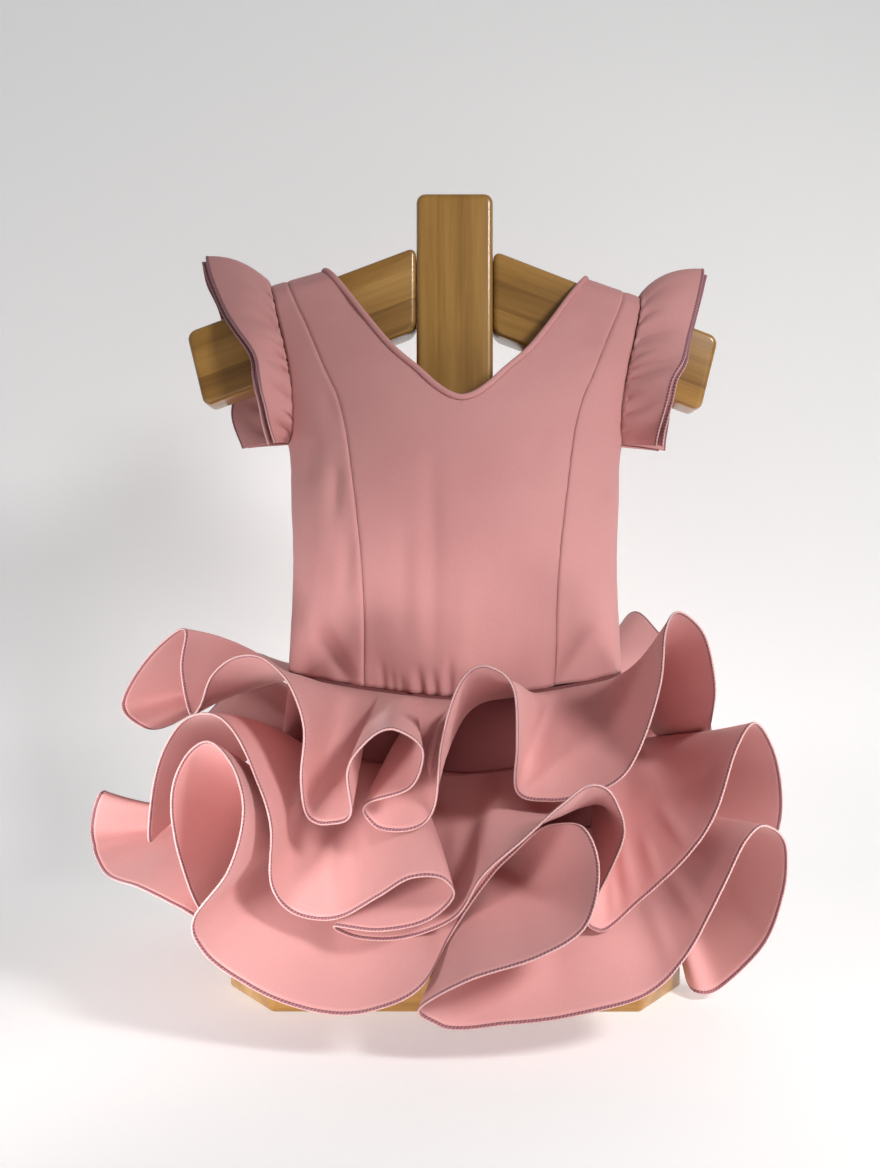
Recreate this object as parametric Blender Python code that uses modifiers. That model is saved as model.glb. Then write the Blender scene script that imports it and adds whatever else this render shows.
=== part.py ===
"""A small child's flamenco dress in plain rose crepe, standing on its wooden display stand.

Millimetres in the tables, metres in the objects. +Z is up, the dress faces -Y,
and the origin is at the middle of the base's underside.
"""
import math

import bmesh
import bpy
import numpy as np
from mathutils import Vector

MM = 0.001
CLOTH = 1.4
RUFFLE = 1.2
SEAM_GAP = 0.3

# The front view: a level eye this far off, and millimetres for each mark at the plane y = 0.
EYE = np.array([-9.8, -850.0, 258.0])
MARK = 0.677
MIDDLE_MARK = (440.0, 584.0)

# The stand
POST_WIDTH = 51.0
POST_DEPTH = 32.0
POST_TOP = 518.0
ARM_DEPTH = 30.0
BASE_WIDTH = 287.0
BASE_DEPTH = 190.0
BASE_HEIGHT = 22.0
BASE_CORNER = (32.0, 48.0)
ARM_TOP = {-1: (483.0, -179.0, 425.5), 1: (480.5, 176.0, 422.5)}
ARM_BOTTOM = {-1: (427.0, -167.0, 376.0), 1: (425.0, 164.0, 373.0)}

# How the dress sits: its front swings a little to +X, and its left shoulder is the higher.
SWING = -0.065
LEAN = -0.03

# height, half width, depth to the front, depth to the back
BODY = (
    (28.0, 130.0, 92.0, 90.0),
    (66.0, 128.0, 88.0, 86.0),
    (106.0, 124.0, 82.0, 80.0),
    (147.0, 118.0, 72.0, 70.0),
    (187.0, 113.0, 62.0, 59.0),
    (230.0, 110.6, 62.0, 57.0),
    (272.0, 109.2, 63.0, 58.0),
    (312.0, 110.4, 65.0, 60.0),
    (351.0, 112.5, 64.0, 60.0),
    (370.0, 118.0, 61.0, 57.0),
    (387.0, 126.0, 56.0, 52.0),
    (408.0, 138.0, 48.0, 44.0),
    (429.0, 150.0, 38.0, 34.0),
    (450.0, 160.0, 28.0, 26.0),
    (470.0, 168.0, 22.0, 22.0),
)

# The shoulder's ridge falls from the neck to the sleeve, and the strap rounds over it.
RIDGE_AT_NECK = (90.0, 466.0)
RIDGE_SLOPE = 0.309
RIDGE_ROUND = 14.0

# Seams of one half of the bodice, from the waist up: half width, height
PRINCESS = ((61.7, 0.0), (62.0, 248.0), (69.8, 330.0), (73.0, 353.0), (79.0, 377.0), (87.0, 395.0),
            (98.6, 423.0), (108.0, 444.0), (113.4, 999.0))
NECK = ((0.0, 373.5), (7.0, 375.5), (17.0, 382.0), (29.0, 393.5), (43.0, 406.0), (63.0, 431.0),
        (76.0, 449.0), (84.0, 459.0), (90.0, 999.0))
ARMHOLE = ((999.0, 351.0), (109.8, 356.0), (108.5, 368.0), (109.5, 387.0), (113.0, 408.0), (118.0, 429.0),
           (122.0, 447.0), (124.0, 999.0))


# Rows of each panel: below the armhole, up to the strap, and these drops below the ridge over the shoulder
LOW = 5
HIGH = 5
RIDGE_ROWS = (16.0, 8.5, 3.5, 0.8, 0.03)
SPLIT = 345.0


def spline(rows, at):
    """A smooth curve through the rows, read at each value of their first column."""
    rows = np.array(rows, float)
    at = np.clip(np.atleast_1d(np.array(at, float)), rows[0, 0], rows[-1, 0])
    key = rows[:, 0]
    values = rows[:, 1:]
    slopes = np.gradient(values, key, axis=0)
    i = np.clip(np.searchsorted(key, at, side="right") - 1, 0, len(key) - 2)
    step = key[i + 1] - key[i]
    t = ((at - key[i]) / step)[:, None]
    step = step[:, None]
    return (
        values[i] * (1 + 2 * t) * (1 - t) ** 2
        + slopes[i] * step * t * (1 - t) ** 2
        + values[i + 1] * t * t * (3 - 2 * t)
        + slopes[i + 1] * step * t * t * (t - 1)
    )


def ridge(x):
    return RIDGE_AT_NECK[1] - RIDGE_SLOPE * (abs(x) - RIDGE_AT_NECK[0])


def waist(angle):
    """Height of the dropped waist seam, lowest at the middle."""
    return 187.0 + 13.0 * abs(math.sin(angle)) ** 1.3


def on_body(angle, z, out=0.0):
    """The point of the body at this angle from the front, moved out square to it."""
    half, front, back = spline(BODY, z)[0]
    deep = front if math.cos(angle) > 0 else back
    x = half * math.sin(angle)
    drop = min(max(ridge(x) - z, 0.0), RIDGE_ROUND) / RIDGE_ROUND
    over = math.sqrt(1 - (1 - drop) ** 2)
    y = -deep * math.cos(angle) * over
    across = math.sin(angle) / half
    along = math.cos(angle) / deep
    size = math.hypot(across, along)
    lift = out * (1 - over)
    x += out * over * across / size
    y -= out * over * along / size
    lean = LEAN * x * min(max((z - 330.0) / 100.0, 0.0), 1.0)
    return np.array([x + SWING * y, y, z + lift + lean])


def angle_of(x, z):
    half = spline(BODY, z)[0][0]
    return math.asin(min(x / half, 1.0))


def seam_curve(rows, split=None):
    """Angle and height along a seam of the bodice, waist to shoulder.

    LOW steps up to the split height, HIGH steps on to the strap, then the rows that round the ridge.
    """
    points = []
    for x, z in rows:
        if z > 900:
            z = ridge(x)
        if z == 0:
            z = waist(angle_of(x, 187.0)) + SEAM_GAP
        if x > 900:
            x = spline(BODY, z)[0][0]
        points.append((x, z))
    length = [0.0]
    for a, b in zip(points, points[1:]):
        length.append(length[-1] + math.dist(a, b))
    keyed = [(s, x, z) for s, (x, z) in zip(length, points)]
    fine = np.linspace(0, length[-1], 600)
    line = spline(keyed, fine)
    drop = np.array([ridge(x) - z for x, z in line])
    tops = [np.interp(-mark, -drop, fine) for mark in RIDGE_ROWS]
    if split is None:
        marks = np.linspace(0, tops[0], HIGH + 1)[:-1]
    else:
        turn = np.interp(split, line[:, 1], fine)
        marks = np.concatenate([np.linspace(0, turn, LOW + 1)[:-1], np.linspace(turn, tops[0], HIGH + 1)[:-1]])
    read = spline(keyed, np.concatenate([marks, tops]))
    return [(angle_of(x, z), z) for x, z in read]


def material(name, colour, rough, coat=0.0):
    new = bpy.data.materials.new(name)
    new.use_nodes = True
    shader = new.node_tree.nodes["Principled BSDF"]
    shader.inputs["Base Color"].default_value = (*colour, 1.0)
    shader.inputs["Roughness"].default_value = rough
    shader.inputs["Metallic"].default_value = 0.0
    shader.inputs["Coat Weight"].default_value = coat
    new.diffuse_color = (*colour, 1.0)
    return new


def add_object(name, bm, look, smooth=True):
    mesh = bpy.data.meshes.new(name)
    bm.to_mesh(mesh)
    bm.free()
    if smooth:
        mesh.shade_smooth()
    new = bpy.data.objects.new(name, mesh)
    new.data.materials.append(look)
    PARTS.objects.link(new)
    return new


def grid_into(bm, points):
    """A grid of faces laid on rows of points."""
    high = len(points)
    wide = len(points[0])
    made = bmesh.ops.create_grid(bm, x_segments=wide - 1, y_segments=high - 1, size=1.0)["verts"]
    for vert in made:
        i = round((vert.co.y + 1) / 2 * (high - 1))
        j = round((vert.co.x + 1) / 2 * (wide - 1))
        vert.co = Vector(points[i][j]) * MM


def thicken(new, thickness, offset):
    modifier = new.modifiers.new("Cloth thickness", "SOLIDIFY")
    modifier.thickness = thickness * MM
    modifier.offset = offset
    modifier.use_even_offset = False
    return new


def cloth(name, grids, thickness, offset, look, outward=None):
    """A sheet of cloth from one or two grids that meet. It faces the way of `outward`."""
    bm = bmesh.new()
    for points in grids:
        grid_into(bm, points)
    bmesh.ops.remove_doubles(bm, verts=bm.verts, dist=0.00002)
    bmesh.ops.recalc_face_normals(bm, faces=bm.faces)
    if outward is not None:
        facing = sum(face.normal.dot(Vector(outward(face.calc_center_median()))) * face.calc_area()
                     for face in bm.faces)
        if facing < 0:
            bmesh.ops.reverse_faces(bm, faces=bm.faces)
    return thicken(add_object(name, bm, look), thickness, offset)


def between(first, last, wide):
    """Rows of angle and height from one seam to the next. The ridge's rows keep their drop below it."""
    rows = []
    for i, ((a, za), (b, zb)) in enumerate(zip(first, last)):
        row = []
        for t in np.linspace(0, 1, wide + 1):
            angle = a + (b - a) * t
            z = za + (zb - za) * t
            if i < LOW:
                foot = first[0][1] + (last[0][1] - first[0][1]) * t
                z += (waist(angle) + SEAM_GAP - foot) * (1 - i / LOW)
            if i >= len(first) - len(RIDGE_ROWS):
                xa = spline(BODY, za)[0][0] * math.sin(a)
                xb = spline(BODY, zb)[0][0] * math.sin(b)
                x = xa + (xb - xa) * t
                z = ridge(x) - (ridge(xa) - za) * (1 - t) - (ridge(xb) - zb) * t
                angle = angle_of(x, z)
            row.append((angle, z))
        rows.append(row)
    return rows


def drag_folds(angle, z):
    """Soft upright folds just over the waist seam, and the fullness at its sides."""
    near = max(0.0, 1 - (z - 187.0) / 130.0)
    wave = math.sin(angle * 17.0 + 0.6) * 0.9 + math.sin(angle * 29.0) * 0.4
    return near * near * wave


def laid(rows, front, side):
    """The rows of angles and heights as points on the front or back, at +X or -X."""
    points = []
    for row in rows:
        line = []
        for angle, z in row:
            turned = (angle if front else math.pi - angle) * side
            line.append(on_body(turned, z, drag_folds(turned, z)))
        points.append(line)
    return points


def outward_of_body(centre):
    return (centre.x, centre.y * 1.6, 0.15)


def seam_gap(curve, way):
    """The seam line moved aside. The inner faces draw together, so the outer ones stand wider apart."""
    moved = []
    for angle, z in curve:
        half, front, _ = spline(BODY, z)[0]
        metric = math.hypot(half * math.cos(angle), front * math.sin(angle))
        shifted = angle + way * 1.5 * SEAM_GAP / max(metric, 20.0)
        if ridge(half * math.sin(angle)) - z < RIDGE_ROUND:
            z += ridge(half * math.sin(shifted)) - ridge(half * math.sin(angle))
        moved.append((shifted, z))
    return moved


def make_bodice():
    princess = seam_curve(PRINCESS, SPLIT)
    neck = seam_curve(NECK)
    armhole = seam_curve(ARMHOLE)
    middle_low = [(0.0, z) for z in np.linspace(waist(0.0) + SEAM_GAP, neck[0][1], LOW + 1)[:-1]]
    middle = middle_low + neck
    side_low = [(math.pi / 2, z) for z in np.linspace(waist(math.pi / 2) + SEAM_GAP, 351.0, LOW + 1)[:-1]]
    inner = seam_gap(princess, -1)
    outer = seam_gap(princess, 1)
    side = seam_gap(side_low, -1)
    most = side[0][0]
    side += [(min(angle, most), z) for angle, z in armhole]
    halves = [laid(between(middle, inner, 5), True, way) for way in (-1, 1)]
    cloth("front_centre", halves, CLOTH, -1.0, ROSE, outward_of_body)
    back_middle = seam_gap(middle_low, 1) + [(max(a, SEAM_GAP / 2 / 59.0), z) for a, z in neck]
    for way, word in ((-1, "left"), (1, "right")):
        ruled = between(outer, side, 4)
        cloth("side_front_" + word, [laid(ruled, True, way)], CLOTH, -1.0, ROSE, outward_of_body)
        cloth("side_back_" + word, [laid(ruled, False, way)], CLOTH, -1.0, ROSE, outward_of_body)
        half = between(back_middle, inner, 5)
        cloth("centre_back_" + word, [laid(half, False, way)], CLOTH, -1.0, ROSE, outward_of_body)


def neck_line():
    """The neck's edge all round, front then back."""
    quarter = seam_curve(NECK)
    quarter = quarter[:-1] + [(quarter[-1][0], quarter[-1][1] + 0.03)]
    front = [(-a, z) for a, z in reversed(quarter)] + quarter[1:]
    back = [(math.pi - a, z) for a, z in reversed(quarter[:-1])] + [(a - math.pi, z) for a, z in quarter[1:-1]]
    return front + back


def make_binding():
    """The piped edge of the neck: a flat oval section carried round the V at front and back."""
    line = np.array([on_body(angle, z) for angle, z in neck_line()])
    count = len(line)
    ahead = np.roll(line, -1, axis=0) - np.roll(line, 1, axis=0)
    ahead /= np.linalg.norm(ahead, axis=1)[:, None]
    centre = np.array([0.0, 0.0, 520.0])
    bm = bmesh.new()
    rings = []
    sides = 8
    for i in range(count):
        toward = centre - line[i]
        toward[1] *= 0.15
        toward -= ahead[i] * toward.dot(ahead[i])
        toward /= np.linalg.norm(toward)
        square = np.cross(ahead[i], toward)
        middle = line[i] + toward * (SEAM_GAP + 1.75) - np.sign(line[i][1]) * np.array([0, -0.35, 0])
        ring = []
        for k in range(sides):
            turn = 2 * math.pi * k / sides
            ring.append(bm.verts.new((middle + toward * 1.75 * math.cos(turn)
                                      + square * 1.25 * math.sin(turn)) * MM))
        rings.append(ring)
    for i in range(count):
        a = rings[i]
        b = rings[(i + 1) % count]
        for k in range(sides):
            bm.faces.new((a[k], a[(k + 1) % sides], b[(k + 1) % sides], b[k]))
    bmesh.ops.recalc_face_normals(bm, faces=bm.faces)
    add_object("neck_binding", bm, ROSE)


# The flounces: height of the seam below the waist seam, and the cloth's width from seam to hem
FLOUNCES = {1: (2.5, 120.0), 2: (46.0, 130.0), 3: (88.0, 142.0)}

# Front folds. turn: degrees round the seam. right, down: marks of the hem in the front view.
# share: how much of the cloth's width the straight way from seam to hem takes.
# sag: how far the cloth hangs below that straight way at its middle.
FRONT_FOLDS = {
    1: (
        (-104, 145, 728, 0.96, 0), (-98, 122, 704, 0.98, 0), (-92, 150, 655, 0.95, -5), (-87, 184, 629, 0.92, -9),
        (-82, 181, 668, 0.86, -8), (-77, 189, 712, 0.74, -3), (-71, 200, 706, 0.80, 0), (-65, 211, 677, 0.90, 0),
        (-58, 237, 657, 0.96, 0), (-51, 268, 662, 0.97, 0), (-46, 292, 690, 0.97, 0), (-42, 304, 730, 0.97, 0),
        (-38, 301, 780, 0.97, 0), (-35, 306, 814, 0.97, 0), (-31, 330, 824, 0.98, 0), (-28, 351, 812, 0.99, 0),
        (-26, 347, 775, 0.98, 0), (-23, 364, 744, 0.98, 0), (-19, 397, 730, 0.99, 0), (-16, 423, 755, 0.95, 0),
        (-14, 410, 788, 0.90, 0), (-12, 368, 803, 0.87, 0), (-9, 372, 824, 0.92, 0), (-4, 411, 830, 0.95, 0),
        (1, 434, 808, 0.87, 0), (6, 441, 745, 0.83, 0), (12, 458, 687, 0.90, 0), (20, 490, 667, 0.98, 0),
        (26, 515, 694, 0.95, 0), (30, 517, 745, 0.88, 0), (34, 516, 790, 0.86, 0), (39, 548, 801, 0.92, 0),
        (46, 608, 787, 0.98, 0), (54, 641, 746, 0.97, 0), (60, 661, 681, 0.97, 0), (65, 666, 630, 0.98, 0),
        (70, 679, 612, 0.99, 0), (75, 704, 634, 0.97, 0), (80, 715, 680, 0.92, 8), (86, 712, 718, 0.82, 17),
        (92, 706, 738, 0.62, 26),
    ),
    2: (
        (-93, 149, 841, 0.93, 0), (-87, 151, 800, 0.91, 0), (-80, 161, 756, 0.89, 0), (-73, 182, 722, 0.90, -4),
        (-66, 210, 714, 0.92, -8), (-59, 233, 731, 0.93, -9), (-52, 254, 774, 0.93, -8), (-46, 271, 830, 0.93, -4),
        (-42, 271, 884, 0.93, 0), (-38, 293, 913, 0.95, 0), (-34, 335, 919, 0.96, 0), (-30, 376, 898, 0.96, -2),
        (-25, 411, 878, 0.96, -5), (-20, 446, 881, 0.95, -7), (-17, 453, 898, 0.93, -5), (-14, 425, 922, 0.93, 0),
        (-11, 378, 931, 0.95, 4), (-8, 334, 926, 0.97, 6), (-5, 350, 936, 0.96, 6), (0, 400, 939, 0.94, 3),
        (5, 452, 920, 0.89, 0), (11, 482, 877, 0.90, 0), (18, 522, 841, 0.92, 7), (25, 562, 805, 0.94, 17),
        (31, 592, 785, 0.94, 19), (37, 616, 801, 0.93, 12), (41, 624, 836, 0.92, 5), (44, 610, 872, 0.95, 0),
        (47, 588, 915, 1.00, 0), (51, 598, 931, 1.03, 0), (59, 640, 901, 0.96, 0), (66, 692, 851, 0.93, 0),
        (72, 718, 808, 0.92, 0), (77, 737, 748, 0.93, 0), (82, 756, 723, 0.94, 0), (87, 776, 757, 0.93, 0),
        (92, 782, 808, 0.90, 7), (97, 772, 842, 0.86, 11),
    ),
    3: (
        (-104, 122, 806, 0.74, 6), (-99, 101, 792, 0.85, 9), (-94, 91, 833, 0.85, 6), (-89, 105, 873, 0.84, 0),
        (-84, 140, 888, 0.80, 0), (-79, 180, 908, 0.76, 0), (-75, 203, 920, 0.72, 0), (-71, 190, 890, 0.77, 0),
        (-67, 175, 840, 0.84, 0), (-62, 173, 785, 0.90, 0), (-58, 190, 751, 0.92, -4), (-54, 214, 744, 0.93, -8),
        (-51, 235, 772, 0.92, -8), (-48, 243, 815, 0.90, -6), (-45, 228, 871, 0.90, -3), (-42, 193, 920, 0.92, 0),
        (-39, 203, 952, 0.93, 0), (-35, 250, 987, 0.93, 0), (-29, 318, 1012, 0.93, 0), (-23, 375, 1010, 0.92, 0),
        (-18, 423, 985, 0.88, 0), (-14, 449, 938, 0.63, 0), (-10, 478, 894, 0.54, 0), (-6.5, 514, 853, 0.56, 0),
        (-3, 553, 825, 0.71, 0), (-1, 584, 828, 0.86, 0), (1, 599, 870, 0.88, 0), (3, 586, 926, 0.90, 0),
        (5, 540, 957, 0.92, 0), (7, 470, 980, 0.93, 0), (9, 422, 1006, 0.94, 0), (12, 436, 1024, 0.96, 0),
        (20, 512, 1024, 0.95, 0), (32, 596, 1011, 0.94, 0), (46, 655, 990, 0.93, 0), (59, 693, 946, 0.92, 0),
        (70, 724, 886, 0.91, 0), (76, 748, 838, 0.92, 0), (81, 767, 826, 0.93, 0), (86, 787, 852, 0.92, 0),
        (89, 783, 896, 0.91, 0), (92, 760, 950, 0.94, 0), (94, 724, 985, 0.96, 0), (97, 696, 992, 0.97, 0),
    ),
}

# Back folds. turn: degrees round the seam. out: how far the hem stands from the middle. height: of the hem.
# sag: as in front.
BACK_FOLDS = {
    1: (
        (104, 188, 160, 24), (113, 186, 196, 12), (122, 182, 222, 0), (131, 184, 236, 0), (140, 190, 204, 0),
        (148, 168, 150, 0), (158, 192, 188, 0), (168, 203, 202, 0), (178, 176, 148, 0), (189, 190, 180, 0),
        (200, 202, 198, 0), (211, 174, 144, 0), (222, 196, 190, 0), (232, 203, 204, 0), (243, 200, 176, 0),
    ),
    2: (
        (108, 196, 126, 8), (118, 206, 170, 3), (128, 204, 158, 0), (138, 180, 92, 0), (150, 196, 118, 0),
        (161, 205, 134, 0), (172, 180, 86, 0), (184, 192, 114, 0), (196, 204, 130, 0), (208, 180, 92, 0),
        (220, 200, 174, 0), (231, 208, 182, 0), (243, 203, 164, 0), (253, 196, 150, 0),
    ),
    3: (
        (104, 166, 26, 0), (112, 182, 32, 0), (120, 205, 76, 0), (130, 208, 70, 0), (140, 190, 30, 0),
        (150, 190, 50, 0), (160, 206, 82, 0), (170, 190, 38, 0), (182, 188, 26, 0), (193, 206, 78, 0),
        (205, 190, 34, 0), (216, 188, 40, 0), (228, 208, 112, 0), (239, 208, 66, 0), (248, 226, 84, 0),
    ),
}
FLOOR_CLEAR = 5.0


def front_point(seam, right, down, reach):
    """The hem's point on the front view's line of sight, as far forward as the cloth's width takes it."""
    plane = np.array([EYE[0] + (right - MIDDLE_MARK[0]) * MARK, 0.0, EYE[2] - (down - MIDDLE_MARK[1]) * MARK])
    sight = (plane - EYE) / np.linalg.norm(plane - EYE)
    back = seam - EYE
    nearest = back.dot(sight)
    aside = back.dot(back) - nearest ** 2
    forward = math.sqrt(max(reach * reach - aside, 0.0))
    return EYE + sight * (nearest - forward)


def hem_rows(tier):
    """One row for each fold of the flounce: turn, then the hem's point and the sag."""
    _, width = FLOUNCES[tier]
    rows = []
    for turn, right, down, share, sag in FRONT_FOLDS[tier]:
        seam = seam_point(tier, turn)
        rows.append((turn, *front_point(seam, right, down, share * width), sag))
    for turn, out, height, sag in BACK_FOLDS[tier]:
        angle = math.radians(turn)
        rows.append((turn, out * math.sin(angle), -out * math.cos(angle), height, sag))
    return rows


def seam_point(tier, turn, out=0.9):
    below, _ = FLOUNCES[tier]
    angle = math.radians(turn)
    return on_body(angle, waist(angle) - below, out)


def ring_spline(rows, at):
    """A smooth closed curve through rows keyed by turn."""
    rows = [list(row) for row in rows]
    lead = [[row[0] - 360.0] + row[1:] for row in rows[-4:]]
    tail = [[row[0] + 360.0] + row[1:] for row in rows[:4]]
    return spline(lead + rows + tail, at)


def flounce_points(tier, turns, hem, high):
    points = []
    for k in range(high + 1):
        t = k / high
        row = []
        for turn, reading in zip(turns, hem):
            seam = seam_point(tier, turn)
            mark = reading[:3]
            mark[2] = max(mark[2], FLOOR_CLEAR)
            way = mark - seam
            bend = seam + way * np.array([0.5, 0.5, 0.5 - LIFT[tier]]) - np.array([0, 0, 2 * reading[3]])
            row.append(seam * (1 - t) ** 2 + bend * 2 * t * (1 - t) + mark * t * t)
        points.append(row)
    return points


# How level the cloth leaves the seam: 0 is a straight way to the hem, 0.5 is level
LIFT = {1: 0.22, 2: 0.12, 3: 0.12}
SIDE_SEAM = 92.0
SIDE_GAP = 0.6
COLUMNS = {"front": {1: 80, 2: 80, 3: 84}, "back": {1: 48, 2: 48, 3: 40}}
FLOUNCE_ROWS = {1: 4, 2: 4, 3: 5}


def even_turns(rows, first, last, count):
    """Turns that step evenly along the hem, so that tight rolls get their share of columns."""
    fine = np.linspace(first, last, 1500)
    line = ring_spline(rows, fine)[:, :3]
    step = np.linalg.norm(np.diff(line, axis=0), axis=1) + 0.25 * np.abs(np.diff(fine))
    length = np.concatenate([[0.0], np.cumsum(step)])
    return np.interp(np.linspace(0, length[-1], count + 1), length, fine)


def make_flounces():
    for tier in (1, 2, 3):
        rows = hem_rows(tier)
        for word, first, last in (("front", -SIDE_SEAM, SIDE_SEAM), ("back", SIDE_SEAM, 360.0 - SIDE_SEAM)):
            turns = even_turns(rows, first, last, COLUMNS[word][tier])
            hem = ring_spline(rows, turns)
            points = flounce_points(tier, turns, hem, FLOUNCE_ROWS[tier])
            for row in points:
                for edge, beside in ((0, 1), (-1, -2)):
                    way = row[beside] - row[edge]
                    row[edge] = row[edge] + way / np.linalg.norm(way) * SIDE_GAP
            cloth(f"flounce_{tier}_{word}", [points], RUFFLE, 0.0, ROSE, lambda centre: (0, 0, 1))


def make_underskirt():
    points = []
    levels = np.linspace(0.0, 1.0, 4)
    for level in levels:
        row = []
        for j in range(41):
            turn = -180.0 + 360.0 * j / 40
            angle = math.radians(turn)
            top = waist(angle) - SEAM_GAP
            row.append(on_body(angle, top + (30.0 - top) * level))
        row[-1] = row[0]
        points.append(row)
    cloth("underskirt", [points], CLOTH, -1.0, ROSE, outward_of_body)


# Sleeve folds. along: from the front of the underarm (0) over the shoulder (0.5) to its back (1). Then the
# hem: half widths at the left and the right, then the depth and the height.
SLEEVE_FOLDS = (
    (0.00, 122, 131, -33, 352), (0.07, 127, 133, -38, 365), (0.13, 130, 136, -42, 380), (0.20, 132, 140, -43, 393),
    (0.27, 136, 147, -40, 405), (0.34, 147, 152, -32, 421), (0.41, 157, 158, -22, 439), (0.455, 165, 164, -12, 460),
    (0.50, 168, 168, 0, 474), (0.545, 166, 166, 12, 462), (0.62, 158, 158, 25, 445), (0.70, 152, 152, 36, 424),
    (0.78, 148, 148, 42, 404), (0.84, 148, 148, 44, 391), (0.90, 148, 148, 42, 378), (1.00, 140, 144, 34, 356),
)
SLEEVE_PUFF = 5.0
GATHERS = 10
SLEEVE_EDGE = 0.8
# The layers: how far each stands from the sleeve's own form at seam and hem, and how long it is cut
SLEEVE_LAYERS = {"upper": (0.3, 0.3, 1.0), "under": (-1.1, -3.4, 1.06)}
ARMHOLE_MIDDLE = np.array([155.0, 0.0, 405.0])


def armhole_line(along):
    """Angle and height of the armhole's edge: front of the underarm, over the shoulder, to the back."""
    edge = [(a, z) for a, z in seam_curve(ARMHOLE)]
    keys = np.concatenate([[0.0], np.cumsum([math.hypot(110 * (a - c), z - d)
                                              for (a, z), (c, d) in zip(edge, edge[1:])])])
    keys /= keys[-1]
    read = []
    for s in along:
        reach = 0.06 + 0.94 * (1 - abs(2 * s - 1))
        angle = np.interp(reach, keys, [a for a, z in edge])
        z = np.interp(reach, keys, [z for a, z in edge])
        read.append((angle if s <= 0.5 else math.pi - angle, z))
    return read


def sleeve_form(along, share, way):
    """Rows of the sleeve's smooth form, drawn at +X for either side, with the gathers left out."""
    read = spline(SLEEVE_FOLDS, along)
    hem = read[:, [0 if way < 0 else 1, 2, 3]]
    starts = []
    for angle, z in armhole_line(along):
        edge = on_body(angle, z)
        square = on_body(angle, z, 1.0) - edge
        toward = ARMHOLE_MIDDLE - edge
        toward -= square * toward.dot(square)
        starts.append(edge + toward / np.linalg.norm(toward) * SLEEVE_EDGE)
    rows = []
    for t in share:
        row = []
        for s, start, end in zip(along, starts, hem):
            span = end + np.array([0, 0, LEAN * end[0]]) - start
            over = 1.2 * math.pi * (s - 0.5)
            full = math.sin(math.pi * s) ** 2
            puff = 2 * SLEEVE_PUFF * full * np.array([0, math.sin(over), math.cos(over)])
            bend = start + span * np.array([0.62 - 0.2 * full, 0.5, 0.35 + 0.25 * full]) + puff
            row.append(start * (1 - t) ** 2 + bend * 2 * t * (1 - t) + (start + span) * t * t)
        rows.append(row)
    return np.array(rows)


def make_sleeves():
    along = np.linspace(0.0, 1.0, 31)
    for layer, (near, far, long) in SLEEVE_LAYERS.items():
        share = np.linspace(0.0, long, 5)
        for way, word in ((-1, "left"), (1, "right")):
            form = sleeve_form(along, share, way)
            across = np.gradient(form, axis=1)
            down = np.gradient(form, axis=0)
            square = np.cross(down, across)
            square /= np.linalg.norm(square, axis=2)[:, :, None]
            square *= np.sign(square[2, 15, 2])
            points = []
            for i, t in enumerate(share):
                row = []
                for j, s in enumerate(along):
                    gather = math.sin(2 * math.pi * GATHERS * s + (0.8 if way > 0 else 0.0))
                    soft = 10.0 * t * max(1 - t, 0) ** 2 * min(1.0, 8 * s, 8 * (1 - s))
                    point = form[i, j] + square[i, j] * (near + (far - near) * t + gather * soft)
                    turned = point * np.array([way, 1, 1])
                    turned[2] += LEAN * (turned[0] - point[0]) * min(1.0, max(0.0, (point[2] - 330) / 100))
                    turned[0] += SWING * (turned[1] - way * point[1])
                    row.append(turned)
                points.append(row)
            cloth(f"sleeve_{layer}_{word}", [points], 1.0, 0.0, ROSE, lambda centre: (0, centre.y * 3, 1))


def make_box(name, size, centre, bevel, look):
    bm = bmesh.new()
    bmesh.ops.create_cube(bm, size=1.0)
    bmesh.ops.scale(bm, vec=Vector(size) * MM, verts=bm.verts)
    bmesh.ops.translate(bm, vec=Vector(centre) * MM, verts=bm.verts)
    new = add_object(name, bm, look)
    edge = new.modifiers.new("Rounded edges", "BEVEL")
    edge.width = bevel * MM
    edge.segments = 2
    return new


def outline_board(name, corners, y, depth, bevel, look):
    """An upright board cut to this outline, with its edges rounded over."""
    bm = bmesh.new()
    front = [bm.verts.new(Vector((x, y - depth / 2, z)) * MM) for x, z in corners]
    face = bm.faces.new(front)
    made = bmesh.ops.extrude_face_region(bm, geom=[face])["geom"]
    moved = [item for item in made if isinstance(item, bmesh.types.BMVert)]
    bmesh.ops.translate(bm, vec=Vector((0, depth * MM, 0)), verts=moved)
    bmesh.ops.recalc_face_normals(bm, faces=bm.faces)
    new = add_object(name, bm, look)
    edge = new.modifiers.new("Rounded edges", "BEVEL")
    edge.width = bevel * MM
    edge.segments = 2
    edge.limit_method = "ANGLE"
    edge.angle_limit = math.radians(40)
    return new


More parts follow.
